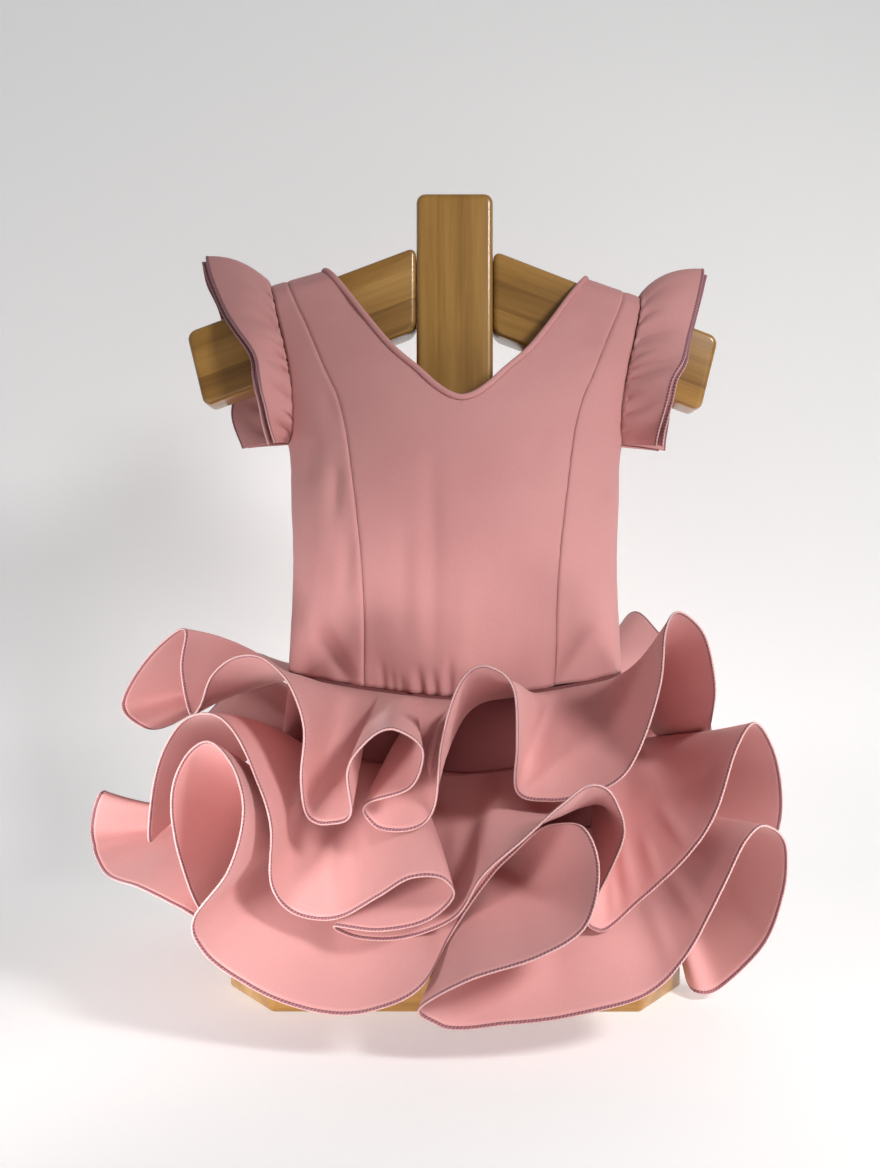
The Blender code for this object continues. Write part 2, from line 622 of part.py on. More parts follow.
def make_stand():
    post_height = POST_TOP - BASE_HEIGHT - SEAM_GAP
    make_box("stand_post", (POST_WIDTH, POST_DEPTH, post_height),
             (0, 0, BASE_HEIGHT + SEAM_GAP + post_height / 2), 5.0, WOOD)
    for way, word in ((-1, "left"), (1, "right")):
        near = way * (POST_WIDTH / 2 + SEAM_GAP)
        top, far_top, far_top_z = ARM_TOP[way]
        bottom, far_bottom, far_bottom_z = ARM_BOTTOM[way]
        corners = [(near, bottom), (near, top), (far_top, far_top_z), (far_bottom, far_bottom_z)]
        outline_board("stand_arm_" + word, corners, 0.0, ARM_DEPTH, 4.0, WOOD)
    bm = bmesh.new()
    half = BASE_WIDTH / 2
    deep = BASE_DEPTH / 2
    cut_x, cut_y = BASE_CORNER
    outline = [(half - cut_x, -deep), (half, -deep + cut_y), (half, deep - cut_y), (half - cut_x, deep),
               (-half + cut_x, deep), (-half, deep - cut_y), (-half, -deep + cut_y), (-half + cut_x, -deep)]
    face = bm.faces.new([bm.verts.new(Vector((x, y, 0)) * MM) for x, y in outline])
    made = bmesh.ops.extrude_face_region(bm, geom=[face])["geom"]
    moved = [item for item in made if isinstance(item, bmesh.types.BMVert)]
    bmesh.ops.translate(bm, vec=Vector((0, 0, BASE_HEIGHT * MM)), verts=moved)
    bmesh.ops.recalc_face_normals(bm, faces=bm.faces)
    base = add_object("stand_base", bm, WOOD)
    edge = base.modifiers.new("Rounded edges", "BEVEL")
    edge.width = 3.0 * MM
    edge.segments = 2
    edge.limit_method = "ANGLE"
    edge.angle_limit = math.radians(40)


for old in list(bpy.data.objects):
    bpy.data.objects.remove(old, do_unlink=True)
PARTS = bpy.data.collections.new("Flamenco dress")
bpy.context.scene.collection.children.link(PARTS)
ROSE = material("Rose crepe", (0.56, 0.26, 0.26), 0.75)
WOOD = material("Laminated wood", (0.33, 0.16, 0.05), 0.3, 0.5)
make_stand()
make_bodice()
make_binding()
make_underskirt()
make_flounces()
make_sleeves()
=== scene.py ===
# %% [markdown]
# A small child's flamenco dress of plain rose crepe, standing on its varnished wooden stand.
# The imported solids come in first. They give the true places and sizes, so every finer piece
# below is laid in the very same millimetres and needs no fitting afterwards.

# %% Load the solids
import math

import bmesh
import bpy
import numpy as np
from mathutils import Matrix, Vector


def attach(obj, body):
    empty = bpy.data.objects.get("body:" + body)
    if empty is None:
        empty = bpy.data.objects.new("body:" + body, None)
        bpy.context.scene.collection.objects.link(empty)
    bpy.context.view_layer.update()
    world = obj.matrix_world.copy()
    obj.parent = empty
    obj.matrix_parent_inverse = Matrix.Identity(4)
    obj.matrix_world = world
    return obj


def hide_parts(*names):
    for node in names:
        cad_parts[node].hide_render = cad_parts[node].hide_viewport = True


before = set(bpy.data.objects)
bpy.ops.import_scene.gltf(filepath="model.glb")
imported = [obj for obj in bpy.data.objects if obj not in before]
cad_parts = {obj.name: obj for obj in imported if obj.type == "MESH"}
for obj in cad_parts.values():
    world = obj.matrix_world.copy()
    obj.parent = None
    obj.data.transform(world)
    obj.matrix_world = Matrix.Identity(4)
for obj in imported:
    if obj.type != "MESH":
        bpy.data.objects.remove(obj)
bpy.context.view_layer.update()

MM = 0.001

# %% [markdown]
# The camera stands level in front of the dress, a little to its left, at the height of the waist.
# A level camera keeps the stand's upright edges upright. The lens follows from the distance and
# from how many millimetres the picture shows there.

# %% Camera
EYE = np.array([-9.8, -850.0, 258.0])
MARK = 0.677
MIDDLE_MARK = (440.0, 584.0)
LENS = 38.70


def into_scene(name, data):
    new = bpy.data.objects.new(name, data)
    bpy.context.scene.collection.objects.link(new)
    return new


lens = bpy.data.cameras.new("Camera")
lens.lens = LENS
lens.sensor_width = 36.0
lens.sensor_fit = "AUTO"
camera = into_scene("Camera", lens)
camera.location = Vector(EYE) * MM
camera.rotation_euler = (math.pi / 2, 0.0, 0.0)
bpy.context.scene.camera = camera
bpy.context.scene.view_settings.view_transform = "Standard"
print("camera at", tuple(camera.location), "lens", LENS)

# %% [markdown]
# The studio is one pale sheet: a floor that curves up into a wall close behind the dress, with no
# corner to see. A profile of a few points is bent at the foot of the wall, then pulled out sideways.
# A wall this close catches the soft shadow that the key light throws to the left. The sheet glows a
# little, most at the floor, so that hardly any shadow lies there. From behind it is clear, so that the
# back of the dress can be looked at.

# %% Floor and wall
WALL_Y = 0.34
SWEEP = 0.13
SWEEP_STEPS = 12
WALL_TOP = 1.7
FLOOR_FRONT = -1.6
HALF_STUDIO = 1.9
# How strongly it glows at the floor and up the wall, and how high the wall still changes
GLOW_LOW = 0.36
GLOW_HIGH = 0.27
GLOW_TOP = 0.46


def soft_material(name, colour, rough, **more):
    """A material with its Principled shader at hand. Inputs are named with _ for a space."""
    new = bpy.data.materials.new(name)
    new.use_nodes = True
    shader = new.node_tree.nodes["Principled BSDF"]
    shader.inputs["Base Color"].default_value = (*colour, 1.0)
    shader.inputs["Roughness"].default_value = rough
    for socket, value in more.items():
        shader.inputs[socket.replace("_", " ")].default_value = value
    return new, shader, new.node_tree


def node(tree, kind, inputs, out=0, **settings):
    """A new node's output. What goes into the node is a value or the output of another."""
    new = tree.nodes.new("ShaderNode" + kind)
    for name, value in settings.items():
        setattr(new, name, value)
    for socket, value in inputs.items():
        if isinstance(value, bpy.types.NodeSocket):
            tree.links.new(value, new.inputs[socket])
        else:
            new.inputs[socket].default_value = value
    return new.outputs[out]


def mesh_object(name, bm, look):
    """Makes a smooth object of one material from what bmesh has built."""
    mesh = bpy.data.meshes.new(name)
    bm.to_mesh(mesh)
    bm.free()
    mesh.shade_smooth()
    mesh.materials.append(look)
    return into_scene(name, mesh)


def pull(bm, made, move):
    """Moves the corners that an extrusion has just made."""
    corners = [part for part in made["geom"] if isinstance(part, bmesh.types.BMVert)]
    bmesh.ops.translate(bm, vec=move, verts=corners)


PAPER = (0.80, 0.80, 0.795)
paper, shader, tree = soft_material("Studio paper", PAPER, 0.9, Emission_Color=(1.0, 1.0, 1.0, 1.0))
place = node(tree, "TexCoord", {}, "Object")
up = node(tree, "SeparateXYZ", {"Vector": place}, "Z")
fade = {"Value": up, "From Min": 0.0, "From Max": GLOW_TOP, "To Min": GLOW_LOW, "To Max": GLOW_HIGH}
glow = node(tree, "MapRange", fade, "Result", interpolation_type="SMOOTHSTEP")
tree.links.new(glow, shader.inputs["Emission Strength"])
behind = node(tree, "NewGeometry", {}, "Backfacing")
both = node(tree, "MixShader", {0: behind, 1: shader.outputs[0], 2: node(tree, "BsdfTransparent", {})})
tree.links.new(both, tree.nodes["Material Output"].inputs["Surface"])
bm = bmesh.new()
profile = [(FLOOR_FRONT, 0.0), (WALL_Y - SWEEP, 0.0)]
for step in range(1, SWEEP_STEPS + 1):
    turn = math.pi / 2 * step / SWEEP_STEPS
    profile.append((WALL_Y - SWEEP + SWEEP * math.sin(turn), SWEEP * (1 - math.cos(turn))))
profile.append((WALL_Y, WALL_TOP))
spine = [bm.verts.new((-HALF_STUDIO, y, z)) for y, z in profile]
edges = [bm.edges.new(pair) for pair in zip(spine, spine[1:])]
pull(bm, bmesh.ops.extrude_edge_only(bm, edges=edges), (2 * HALF_STUDIO, 0, 0))
bm.normal_update()
if sum(face.normal.z for face in bm.faces) < 0:
    bmesh.ops.reverse_faces(bm, faces=bm.faces)
studio = mesh_object("studio_paper", bm, paper)
print("studio paper:", len(studio.data.polygons), "faces")

# %% [markdown]
# Much of the light comes from below, off the glowing sheet and three small lamps low in front, so the
# flounces are brighter than the straps and the insides of their rolls are lit. A soft key from the
# right leaves the left side of the bodice in shade and throws its shadow to the left. The pale room
# fills in from all round.

# %% Lights
# where the lamp stands, what it looks at, its width in metres, its power and its beam in degrees
LAMPS = {
    "Low left": ((-0.44, -0.50, 0.05), (-0.15, -0.05, 0.07), 0.20, 0.58, 50),
    "Low middle": ((-0.08, -0.66, 0.04), (-0.10, 0.0, 0.12), 0.14, 0.05, 35),
    "Low right": ((0.48, -0.48, 0.05), (0.15, -0.05, 0.07), 0.20, 0.22, 50),
    "Key": ((0.80, -0.95, 0.88), (0.0, -0.05, 0.0), 0.26, 3.75, 100),
}
LAMP_COLOUR = (1.0, 0.99, 0.975)
ROOM_COLOUR = (0.94, 0.965, 1.0, 1.0)
ROOM_STRENGTH = 0.17


def soft_light(name, place, aim, size, power, beam):
    """A square area light that looks at a point, its beam so many degrees wide."""
    lamp = bpy.data.lights.new(name, "AREA")
    lamp.shape = "SQUARE"
    lamp.size = size
    lamp.energy = power
    lamp.spread = math.radians(beam)
    lamp.color = LAMP_COLOUR
    new = into_scene(name, lamp)
    new.location = place
    new.rotation_euler = (Vector(aim) - Vector(place)).to_track_quat("-Z", "Y").to_euler()


for name, lamp in LAMPS.items():
    soft_light(name, *lamp)
world = bpy.data.worlds.new("Pale room")
world.use_nodes = True
room = world.node_tree.nodes["Background"].inputs
room["Color"].default_value = ROOM_COLOUR
room["Strength"].default_value = ROOM_STRENGTH
bpy.context.scene.world = world
print("lamps:", list(LAMPS), "room", ROOM_STRENGTH)

# %% [markdown]
# The body under the dress is a stack of soft ovals. Each row of the table gives a height, half the
# width, and the depth to the front and to the back. A smooth curve through the rows is read at any
# height. The same table gives the solids their form, so the fine cloth lies where they are.

# %% The body's form
SWING = -0.065
LEAN = -0.03
SEAM_GAP = 0.1
BODY = (
    (28, 130, 92, 90), (66, 128, 88, 86), (106, 124, 82, 80), (147, 118, 72, 70), (187, 113, 62, 59),
    (230, 110.6, 62, 57), (272, 109.2, 63, 58), (312, 110.4, 65, 60), (351, 112.5, 64, 60),
    (370, 118, 61, 57), (387, 126, 56, 52), (408, 138, 48, 44), (429, 150, 38, 34), (450, 160, 28, 26),
    (470, 168, 22, 22),
)
RIDGE_AT_NECK = (90.0, 466.0)
RIDGE_SLOPE = 0.309
RIDGE_ROUND = 14.0
WAIST_FRONT = 187.0
WAIST_RISE = 13.0
LEAN_FROM = 330.0
LEAN_FULL = 430.0


def spline(rows, at):
    """A smooth curve through the rows, read at each value of their first column."""
    rows = np.array(rows, float)
    at = np.clip(np.atleast_1d(np.array(at, float)), rows[0, 0], rows[-1, 0])
    key = rows[:, 0]
    values = rows[:, 1:]
    slopes = np.gradient(values, key, axis=0)
    i = np.clip(np.searchsorted(key, at, side="right") - 1, 0, len(key) - 2)
    step = key[i + 1] - key[i]
    t = ((at - key[i]) / step)[..., None]
    step = step[..., None]
    return (
        values[i] * (1 + 2 * t) * (1 - t) ** 2
        + slopes[i] * step * t * (1 - t) ** 2
        + values[i + 1] * t * t * (3 - 2 * t)
        + slopes[i + 1] * step * t * t * (t - 1)
    )


def half_width(z):
    return spline(BODY, z)[..., 0]


def ridge(x):
    """Height of the shoulder's ridge."""
    return RIDGE_AT_NECK[1] - RIDGE_SLOPE * (abs(x) - RIDGE_AT_NECK[0])


def waist(angle):
    """Height of the dropped waist seam, lowest at the middle."""
    return WAIST_FRONT + WAIST_RISE * np.abs(np.sin(angle)) ** 1.3


def leaning(z):
    """How much of the shoulders' lean this height has, from 0 at the chest to 1."""
    return np.clip((z - LEAN_FROM) / (LEAN_FULL - LEAN_FROM), 0.0, 1.0)


def on_body(angle, z, out=0.0):
    """Points of the body at these angles from the front, moved out square to it."""
    angle, z, out = np.broadcast_arrays(*(np.asarray(part, float) for part in (angle, z, out)))
    half, front, back = (part.reshape(z.shape) for part in np.moveaxis(spline(BODY, z), -1, 0))
    deep = np.where(np.cos(angle) > 0, front, back)
    x = half * np.sin(angle)
    drop = np.clip(ridge(x) - z, 0.0, RIDGE_ROUND) / RIDGE_ROUND
    over = np.sqrt(1 - (1 - drop) ** 2)
    y = -deep * np.cos(angle) * over
    across = np.sin(angle) / half
    along = np.cos(angle) / deep
    size = np.hypot(across, along)
    x = x + out * over * across / size
    y = y - out * over * along / size
    return np.stack([x + SWING * y, y, z + out * (1 - over) + LEAN * x * leaning(z)], axis=-1)


def angle_of(x, z):
    return np.arcsin(np.clip(x / half_width(z), -1.0, 1.0))


waist_point = on_body(0.0, waist(0.0))
print("front of the waist:", np.round(waist_point, 1), "ridge at the neck:", RIDGE_AT_NECK[1])

# %% [markdown]
# The cloth is a smooth, rather firm crepe: matt, with a fine grain and a soft bloom at the edges of
# its folds. Its colour wanders a little, as dyed cloth does. Two noises on the object's own coordinates
# do that, a broad one for the colour and a fine one for the grain, and a slanted wave draws the weave.
# The bump is slight, because the real folds are in the mesh. The flounces are painted a touch lighter,
# as painted light, and darker near their seam by the UV map, as painted shade. The underskirt, in the
# dark behind them, is painted the deepest, as painted shade.

# %% Crepe
CREPE_LIGHT = (0.635, 0.308, 0.298)
CREPE_DEEP = (0.565, 0.258, 0.252)
# Painted light: the flounces are the same crepe as the bodice, painted a touch lighter where more light
# falls on them.
FLOUNCE_PAINTED_LIGHT_PALE = (0.69, 0.345, 0.335)
FLOUNCE_PAINTED_LIGHT_DEEP = (0.62, 0.295, 0.287)
# Painted shade: the underskirt is the same crepe, painted very dark because it shows only in shaded
# slits.
UNDER_PAINTED_SHADE_PALE = (0.24, 0.07, 0.07)
UNDER_PAINTED_SHADE_DARK = (0.20, 0.055, 0.055)
# Painted shade at a flounce's seam: how dark the colour is there, and how far down the UV map it fades
# out.
PAINTED_SEAM_SHADE = 0.85
PAINTED_SHADE_REACH = 0.15
WHITE = (1.0, 1.0, 1.0)
BLACK = (0.0, 0.0, 0.0)


def maths(tree, how, *terms):
    return node(tree, "Math", dict(enumerate(terms)), operation=how)


def noise(tree, place, scale, detail, rough=0.5):
    inputs = {"Vector": place, "Scale": scale, "Detail": detail, "Roughness": rough}
    return node(tree, "TexNoise", inputs, "Fac")


def ramp(tree, source, *stops):
    """A colour ramp with these (place, colour) stops."""
    colour = node(tree, "ValToRGB", {"Fac": source}, "Color")
    band = colour.node.color_ramp.elements
    for end, (at, shade) in ((0, stops[0]), (1, stops[-1])):
        band[end].position, band[end].color = at, (*shade, 1.0)
    for at, shade in stops[1:-1]:
        band.new(at).color = (*shade, 1.0)
    return colour


def bumped(tree, shader, height, strength, distance):
    """Gives the surface a fine relief, so many metres high."""
    inputs = {"Height": height, "Strength": strength, "Distance": distance}
    tree.links.new(node(tree, "Bump", inputs), shader.inputs["Normal"])


def crepe(name, light, deep, seam=1.0):
    """Matt crepe with a fine grain, a slanted weave and a slow drift of colour. A `seam` below 1 paints
    shade: darker near the seam, by the UV map.
    """
    bloom = {"Sheen_Weight": 0.22, "Sheen_Roughness": 0.45, "Sheen_Tint": (1.0, 0.82, 0.80, 1.0)}
    new, shader, tree = soft_material(name, light, 0.78, Specular_IOR_Level=0.28, **bloom)
    place = node(tree, "TexCoord", {}, "Object")
    fleck = noise(tree, place, 1500.0, 2.0, 0.7)
    drift = maths(tree, "MULTIPLY_ADD", fleck, 0.55, noise(tree, place, 9.0, 3.0))
    colour = ramp(tree, drift, (0.62, deep), (0.95, light))
    # Painted shade: the colour is multiplied darker near the seam, where the folds shade the cloth.
    if seam < 1:
        down = node(tree, "SeparateXYZ", {"Vector": place.node.outputs["UV"]}, "Y")
        shade = ramp(tree, down, (0.0, (seam, seam ** 1.35, seam ** 1.3)), (PAINTED_SHADE_REACH, WHITE))
        mixed = {"Factor": 1.0, "A": colour, "B": shade}
        colour = node(tree, "Mix", mixed, "Result", data_type="RGBA", blend_type="MULTIPLY")
    tree.links.new(colour, shader.inputs["Base Color"])
    slant = node(tree, "Mapping", {"Vector": place, "Rotation": (0.0, math.radians(38), 0.0)})
    wave = {"Vector": slant, "Scale": 420.0, "Distortion": 1.2, "Detail": 1.0}
    rib = node(tree, "TexWave", wave, "Fac")
    bumped(tree, shader, maths(tree, "MULTIPLY_ADD", rib, 0.35, fleck), 0.22, 0.00025)
    return new


CREPE = crepe("Rose crepe", CREPE_LIGHT, CREPE_DEEP)
# The flounces' crepe has painted light, and painted shade at its seam.
FLOUNCE_PAINTED_CREPE = crepe("Rose crepe of the flounces", FLOUNCE_PAINTED_LIGHT_PALE, FLOUNCE_PAINTED_LIGHT_DEEP, PAINTED_SEAM_SHADE)
# The underskirt's crepe is painted dark as painted shade.
UNDER_PAINTED_SHADE_CREPE = crepe("Rose crepe of the underskirt, painted dark as shade", UNDER_PAINTED_SHADE_PALE, UNDER_PAINTED_SHADE_DARK)
print("crepe:", len(CREPE.node_tree.nodes), "nodes")

# %% [markdown]
# A sheet of cloth starts as a flat grid. Each corner of the grid then goes to its own place on the
# form, and a Solidify modifier gives the cloth its real thickness. One sheet stands for each solid
# of the dress, and one ring for the front and the back of a flounce.

# %% Sheets of cloth
THICK = 1.4
RUFFLE_THICK = 1.2
FITTED = {}


def grid_into(bm, points, wide=1.0, high=1.0):
    """A grid of faces laid on rows of points. Its UV map runs from 0 to wide and 0 to high."""
    rows, columns = points.shape[:2]
    layer = bm.loops.layers.uv.verify()
    flat = {"x_segments": columns - 1, "y_segments": rows - 1, "size": 1.0, "calc_uvs": True}
    made = bmesh.ops.create_grid(bm, **flat)["verts"]
    faces = {face for vert in made for face in vert.link_faces}
    for vert in made:
        i = round((vert.co.y + 1) / 2 * (rows - 1))
        j = round((vert.co.x + 1) / 2 * (columns - 1))
        vert.co = Vector(points[i, j]) * MM
    for face in faces:
        for loop in face.loops:
            u, v = loop[layer].uv
            loop[layer].uv = (u * wide, v * high)


def finish_mesh(name, bm, look, nodes):
    """Makes the object, rides it on the body and hides the solids that it stands for."""
    new = mesh_object(name, bm, look)
    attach(new, "root")
    if nodes:
        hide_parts(*nodes)
    return new


def cut_of(grids):
    """Widest row and longest column of grids that lie side by side, in metres."""
    wide = sum(spans(points, 1).sum(axis=1).max() for points in grids)
    high = max(spans(points, 0).sum(axis=0).max() for points in grids)
    return wide * MM, high * MM


def add_sheet(name, grids, outward, look=CREPE, thickness=THICK, offset=-1.0, nodes=None):
    """A sheet of cloth from grids that meet, facing the way that `outward` says."""
    bm = bmesh.new()
    for points in grids:
        grid_into(bm, points)
    bmesh.ops.remove_doubles(bm, verts=bm.verts, dist=0.00002)
    bmesh.ops.recalc_face_normals(bm, faces=bm.faces)
    facing = 0.0
    for face in bm.faces:
        facing += face.normal.dot(Vector(outward(face.calc_center_median()))) * face.calc_area()
    if facing < 0:
        bmesh.ops.reverse_faces(bm, faces=bm.faces)
    area = sum(face.calc_area() for face in bm.faces)
    new = finish_mesh(name + "_cloth", bm, look, nodes or [name])
    modifier = new.modifiers.new("Cloth thickness", "SOLIDIFY")
    modifier.thickness = thickness * MM
    modifier.offset = offset
    modifier.use_even_offset = False
    print(f"{name}: {len(new.data.polygons)} faces, {area * 1e4:.0f} cm2")
    FITTED[name] = (new, area, cut_of(grids))


def spans(points, axis):
    """How far each point of a grid is from the next, along this axis."""
    return np.linalg.norm(np.diff(points, axis=axis), axis=-1)


def from_first(points, axis):
    """How far along the cloth each point lies from the grid's first row or column."""
    steps = np.cumsum(spans(points, axis), axis=axis)
    pad = [(0, 0), (0, 0)]
    pad[axis] = (1, 0)
    return np.pad(steps, pad)


def press(points, ends, half, depth):
    """How far a soft trough from end to end pushes each point of a grid in. It fades at its ends."""
    start, end = np.array(ends, float)
    way = end - start
    away = points - start
    share = np.clip(away @ way / (way @ way), 0.0, 1.0)
    gap = np.linalg.norm(away - share[..., None] * way, axis=-1)
    fade = np.sin(np.pi * np.clip(share, 0.02, 0.98)) ** 0.6
    return depth * fade * np.exp(-(gap / half) ** 2)


# %% [markdown]
# The bodice is cut in panels that meet in long princess seams. Each panel is ruled from one seam to
# the next. The seams are tables of half widths and heights, and the panels' rows climb from the
# waist to the strap and then round over the shoulder's ridge.

# %% Seams of the bodice
# Half widths and heights. These three stand for a place that follows from the form.
WAIST, RIDGE, SIDE = 0.0, 999.0, 999.0
ARMHOLE_FOOT = 351.0
PRINCESS = (
    (61.7, WAIST), (62, 248), (69.8, 330), (73, 353), (79, 377), (87, 395), (98.6, 423), (108, 444),
    (113.4, RIDGE),
)
NECK = (
    (0, 373.5), (7, 375.5), (17, 382), (29, 393.5), (43, 406), (63, 431), (76, 449), (84, 459),
    (90, RIDGE),
)
ARMHOLE = (
    (SIDE, ARMHOLE_FOOT), (109.8, 356), (108.5, 368), (109.5, 387), (113, 408), (118, 429), (122, 447),
    (124, RIDGE),
)
LOW = 56
HIGH = 44
SPLIT = 345.0
RIDGE_TURNS = np.linspace(math.pi / 2, 0.0, 13)[1:]
RIDGE_ROWS = (16.0, *(RIDGE_ROUND * (1 - math.cos(turn)) + 0.02 for turn in RIDGE_TURNS))


def seam_curve(rows, split=None):
    """Angle and height along a seam of the bodice, from the waist over the shoulder."""
    points = []
    for x, z in rows:
        if z == RIDGE:
            z = ridge(x)
        if z == WAIST:
            z = waist(angle_of(x, WAIST_FRONT)) + SEAM_GAP
        if x == SIDE:
            x = half_width(z)
        points.append((float(np.ravel(x)[0]), float(np.ravel(z)[0])))
    length = np.cumsum([0.0] + [math.dist(a, b) for a, b in zip(points, points[1:])])
    keyed = [(s, x, z) for s, (x, z) in zip(length, points)]
    fine = np.linspace(0, length[-1], 2000)
    line = spline(keyed, fine)
    drop = np.array([ridge(x) - z for x, z in line])
    tops = [np.interp(-mark, -drop, fine) for mark in RIDGE_ROWS]
    if split is None:
        marks = np.linspace(0, tops[0], HIGH + 1)[:-1]
    else:
        turn = np.interp(split, line[:, 1], fine)
        marks = [np.linspace(0, turn, LOW + 1)[:-1], np.linspace(turn, tops[0], HIGH + 1)[:-1]]
        marks = np.concatenate(marks)
    read = spline(keyed, np.concatenate([marks, tops]))
    return np.stack([angle_of(read[:, 0], read[:, 1]), read[:, 1]], axis=-1)


def seam_gap(curve, way):
    """The seam line moved a hair aside, so that neighbours don't share a face."""
    half, front, _ = np.moveaxis(spline(BODY, curve[:, 1]), -1, 0)
    metric = np.maximum(np.hypot(half * np.cos(curve[:, 0]), front * np.sin(curve[:, 0])), 20.0)
    shifted = curve[:, 0] + way * SEAM_GAP / metric
    x, moved = half * np.sin(curve[:, 0]), half * np.sin(shifted)
    z = curve[:, 1]
    z = np.where(ridge(x) - z < RIDGE_ROUND, z + ridge(moved) - ridge(x), z)
    return np.stack([shifted, z], axis=-1)


def between(first, last, wide):
    """Angles and heights from one seam to the next. The ridge's rows keep their drop below it."""
    t = np.linspace(0, 1, wide + 1)[None, :]
    angle = first[:, :1] * (1 - t) + last[:, :1] * t
    z = first[:, 1:] * (1 - t) + last[:, 1:] * t
    foot = first[0, 1] * (1 - t) + last[0, 1] * t
    fall = np.clip(1 - np.arange(len(first)) / LOW, 0.0, 1.0)[:, None]
    z = z + (waist(angle) + SEAM_GAP - foot) * fall
    top = slice(len(first) - len(RIDGE_ROWS), None)
    x = drop = 0.0
    for seam, share in ((first[top], 1 - t), (last[top], t)):
        seam_x = half_width(seam[:, 1]) * np.sin(seam[:, 0])
        x = x + seam_x[:, None] * share
        drop = drop + (ridge(seam_x) - seam[:, 1])[:, None] * share
    z[top] = ridge(x) - drop
    angle[top] = angle_of(x, z[top])
    return angle, z


princess = seam_curve(PRINCESS, SPLIT)
neck = seam_curve(NECK)
armhole = seam_curve(ARMHOLE)
print("rows up a panel:", len(princess), "neck rows:", len(neck))

# %% [markdown]
# A worn bodice isn't smooth. Soft troughs run up from the dropped waist where the flounce's weight
# pulls, dents lie under the arm, and short gathers sit over the waist seam. Each is one row of a
# table: where it starts and ends in the front view, how wide and how deep it is. The back has the
# same kind of folds, read in a back view.

# %% Folds of the bodice
# right, down of one end, right, down of the other, half the width and the depth in millimetres
FRONT_CREASES = (
    (434, 690, 432, 455, 6.5, 1.5), (405, 640, 404, 520, 6.0, 1.0), (382, 660, 380, 560, 7.0, -0.5),
    (505, 640, 556, 520, 8.0, 1.6), (476, 700, 500, 560, 8.0, 0.7), (528, 465, 552, 425, 7.0, 0.9),
    (458, 690, 468, 560, 7.0, -0.7), (384, 698, 380, 664, 2.6, 1.0), (395, 700, 391, 672, 2.2, 0.9),
    (403, 701, 400, 676, 2.2, 1.0), (423, 702, 417, 668, 2.6, 1.7), (436, 704, 433, 672, 2.4, 1.6),
    (449, 702, 450, 662, 2.6, 1.5), (460, 702, 463, 676, 2.3, 0.8), (413, 702, 410, 676, 2.4, -0.8),
    (429, 704, 426, 680, 2.4, -0.9), (442, 704, 442, 678, 2.4, -0.9), (302, 484, 306, 432, 5.5, 2.2),
    (331, 515, 334, 462, 4.5, 1.9), (343, 600, 346, 530, 5.0, 1.4), (311, 628, 350, 690, 6.5, 3.6),
    (290, 628, 300, 585, 4.5, 1.6), (322, 560, 318, 500, 8.0, -0.8), (330, 650, 322, 590, 8.0, -1.0),
    (560, 700, 604, 628, 8.5, 4.2), (590, 560, 600, 500, 8.0, 0.9), (566, 655, 577, 560, 5.0, -0.8),
    (611, 520, 614, 490, 5.0, 1.6), (612, 600, 606, 560, 6.0, 1.0), (345, 320, 350, 272, 9.0, 0.6),
    (596, 340, 588, 300, 9.0, 0.6), (330, 420, 322, 380, 6.0, 0.6),
)
# The same marks for the back, as if it were seen from behind
BACK_CREASES = (
    (405, 690, 402, 560, 7.0, 1.2), (470, 690, 474, 590, 6.5, 1.3), (352, 680, 340, 560, 7.0, 1.6),
    (532, 680, 548, 560, 7.0, 1.5), (306, 640, 330, 690, 6.5, 2.8), (600, 640, 566, 694, 7.0, 3.0),
    (420, 700, 418, 672, 2.5, 1.2), (430, 701, 430, 674, 2.3, 1.0), (452, 701, 453, 672, 2.5, 1.2),
    (463, 700, 466, 676, 2.3, 1.0), (390, 698, 388, 668, 2.5, 1.1), (500, 698, 503, 668, 2.5, 1.1),
    (300, 500, 306, 440, 6.0, 1.8), (604, 500, 598, 440, 6.0, 1.8), (380, 540, 420, 470, 9.0, 0.9),
    (520, 540, 480, 470, 9.0, 0.9),
)
FRONT_PLANE = -62.0
FOLD_DEPTH = 1.5


def from_view(right, down, y):
    """The point that the front view shows at this mark, on the plane at this depth."""
    scale = (y - EYE[1]) / -EYE[1] * MARK
    return EYE[0] + (right - MIDDLE_MARK[0]) * scale, y, EYE[2] - (down - MIDDLE_MARK[1]) * scale


def laid(angles, front, side, seams):
    """A panel's points on the front or back, at +X or -X, with its folds and its turned-in seams."""
    angle, z = angles
    turned = (angle if front else math.pi - angle) * side
    base = on_body(turned, z)
    square = on_body(turned, z, 1.0) - base
    view = np.stack([base[..., 0] * (1 if front else -1), base[..., 2]], axis=-1)
    inward = np.zeros(angle.shape)
    for right, down, far_right, far_down, half, depth in FRONT_CREASES if front else BACK_CREASES:
        ends = [from_view(*end, FRONT_PLANE)[::2] for end in ((right, down), (far_right, far_down))]
        inward += press(view, ends, half, depth * FOLD_DEPTH)
    near = np.clip(1 - (z - WAIST_FRONT) / 130.0, 0.0, 1.0) ** 2
    inward -= near * (np.sin(turned * 17.0 + 0.6) * 0.7 + np.sin(turned * 29.0) * 0.3)
    left = from_first(base, 1)
    up = from_first(base, 0)
    right = left[:, -1:] - left
    for distance, turn_in in zip((left, right), seams):
        pucker = 0.16 * np.sin(up / 2.9 + 1.7 * np.sin(up / 11.0)) * np.exp(-distance / 5.0)
        inward += turn_in * 0.85 * np.exp(-(distance / 1.3) ** 2) + (turn_in > 0) * pucker
    return base - square * inward[..., None]


def outward_of_body(centre):
    return (centre.x, centre.y * 1.6, 0.15)


# %% [markdown]
# Now the panels themselves: one front panel across both halves, and side fronts, side backs and
# centre backs in pairs. Their edges dip in over the last millimetre and pucker a little, which is
# what draws a sewn seam as a fine dark line.

# %% Bodice panels
PANEL_COLUMNS = 56
SIDE_COLUMNS = 44


def straight_up(angle, top):
    """A seam that climbs from the waist to a height at one angle."""
    heights = np.linspace(waist(angle) + SEAM_GAP, top, LOW + 1)[:-1]
    return np.stack([np.full(LOW, angle), heights], axis=-1)


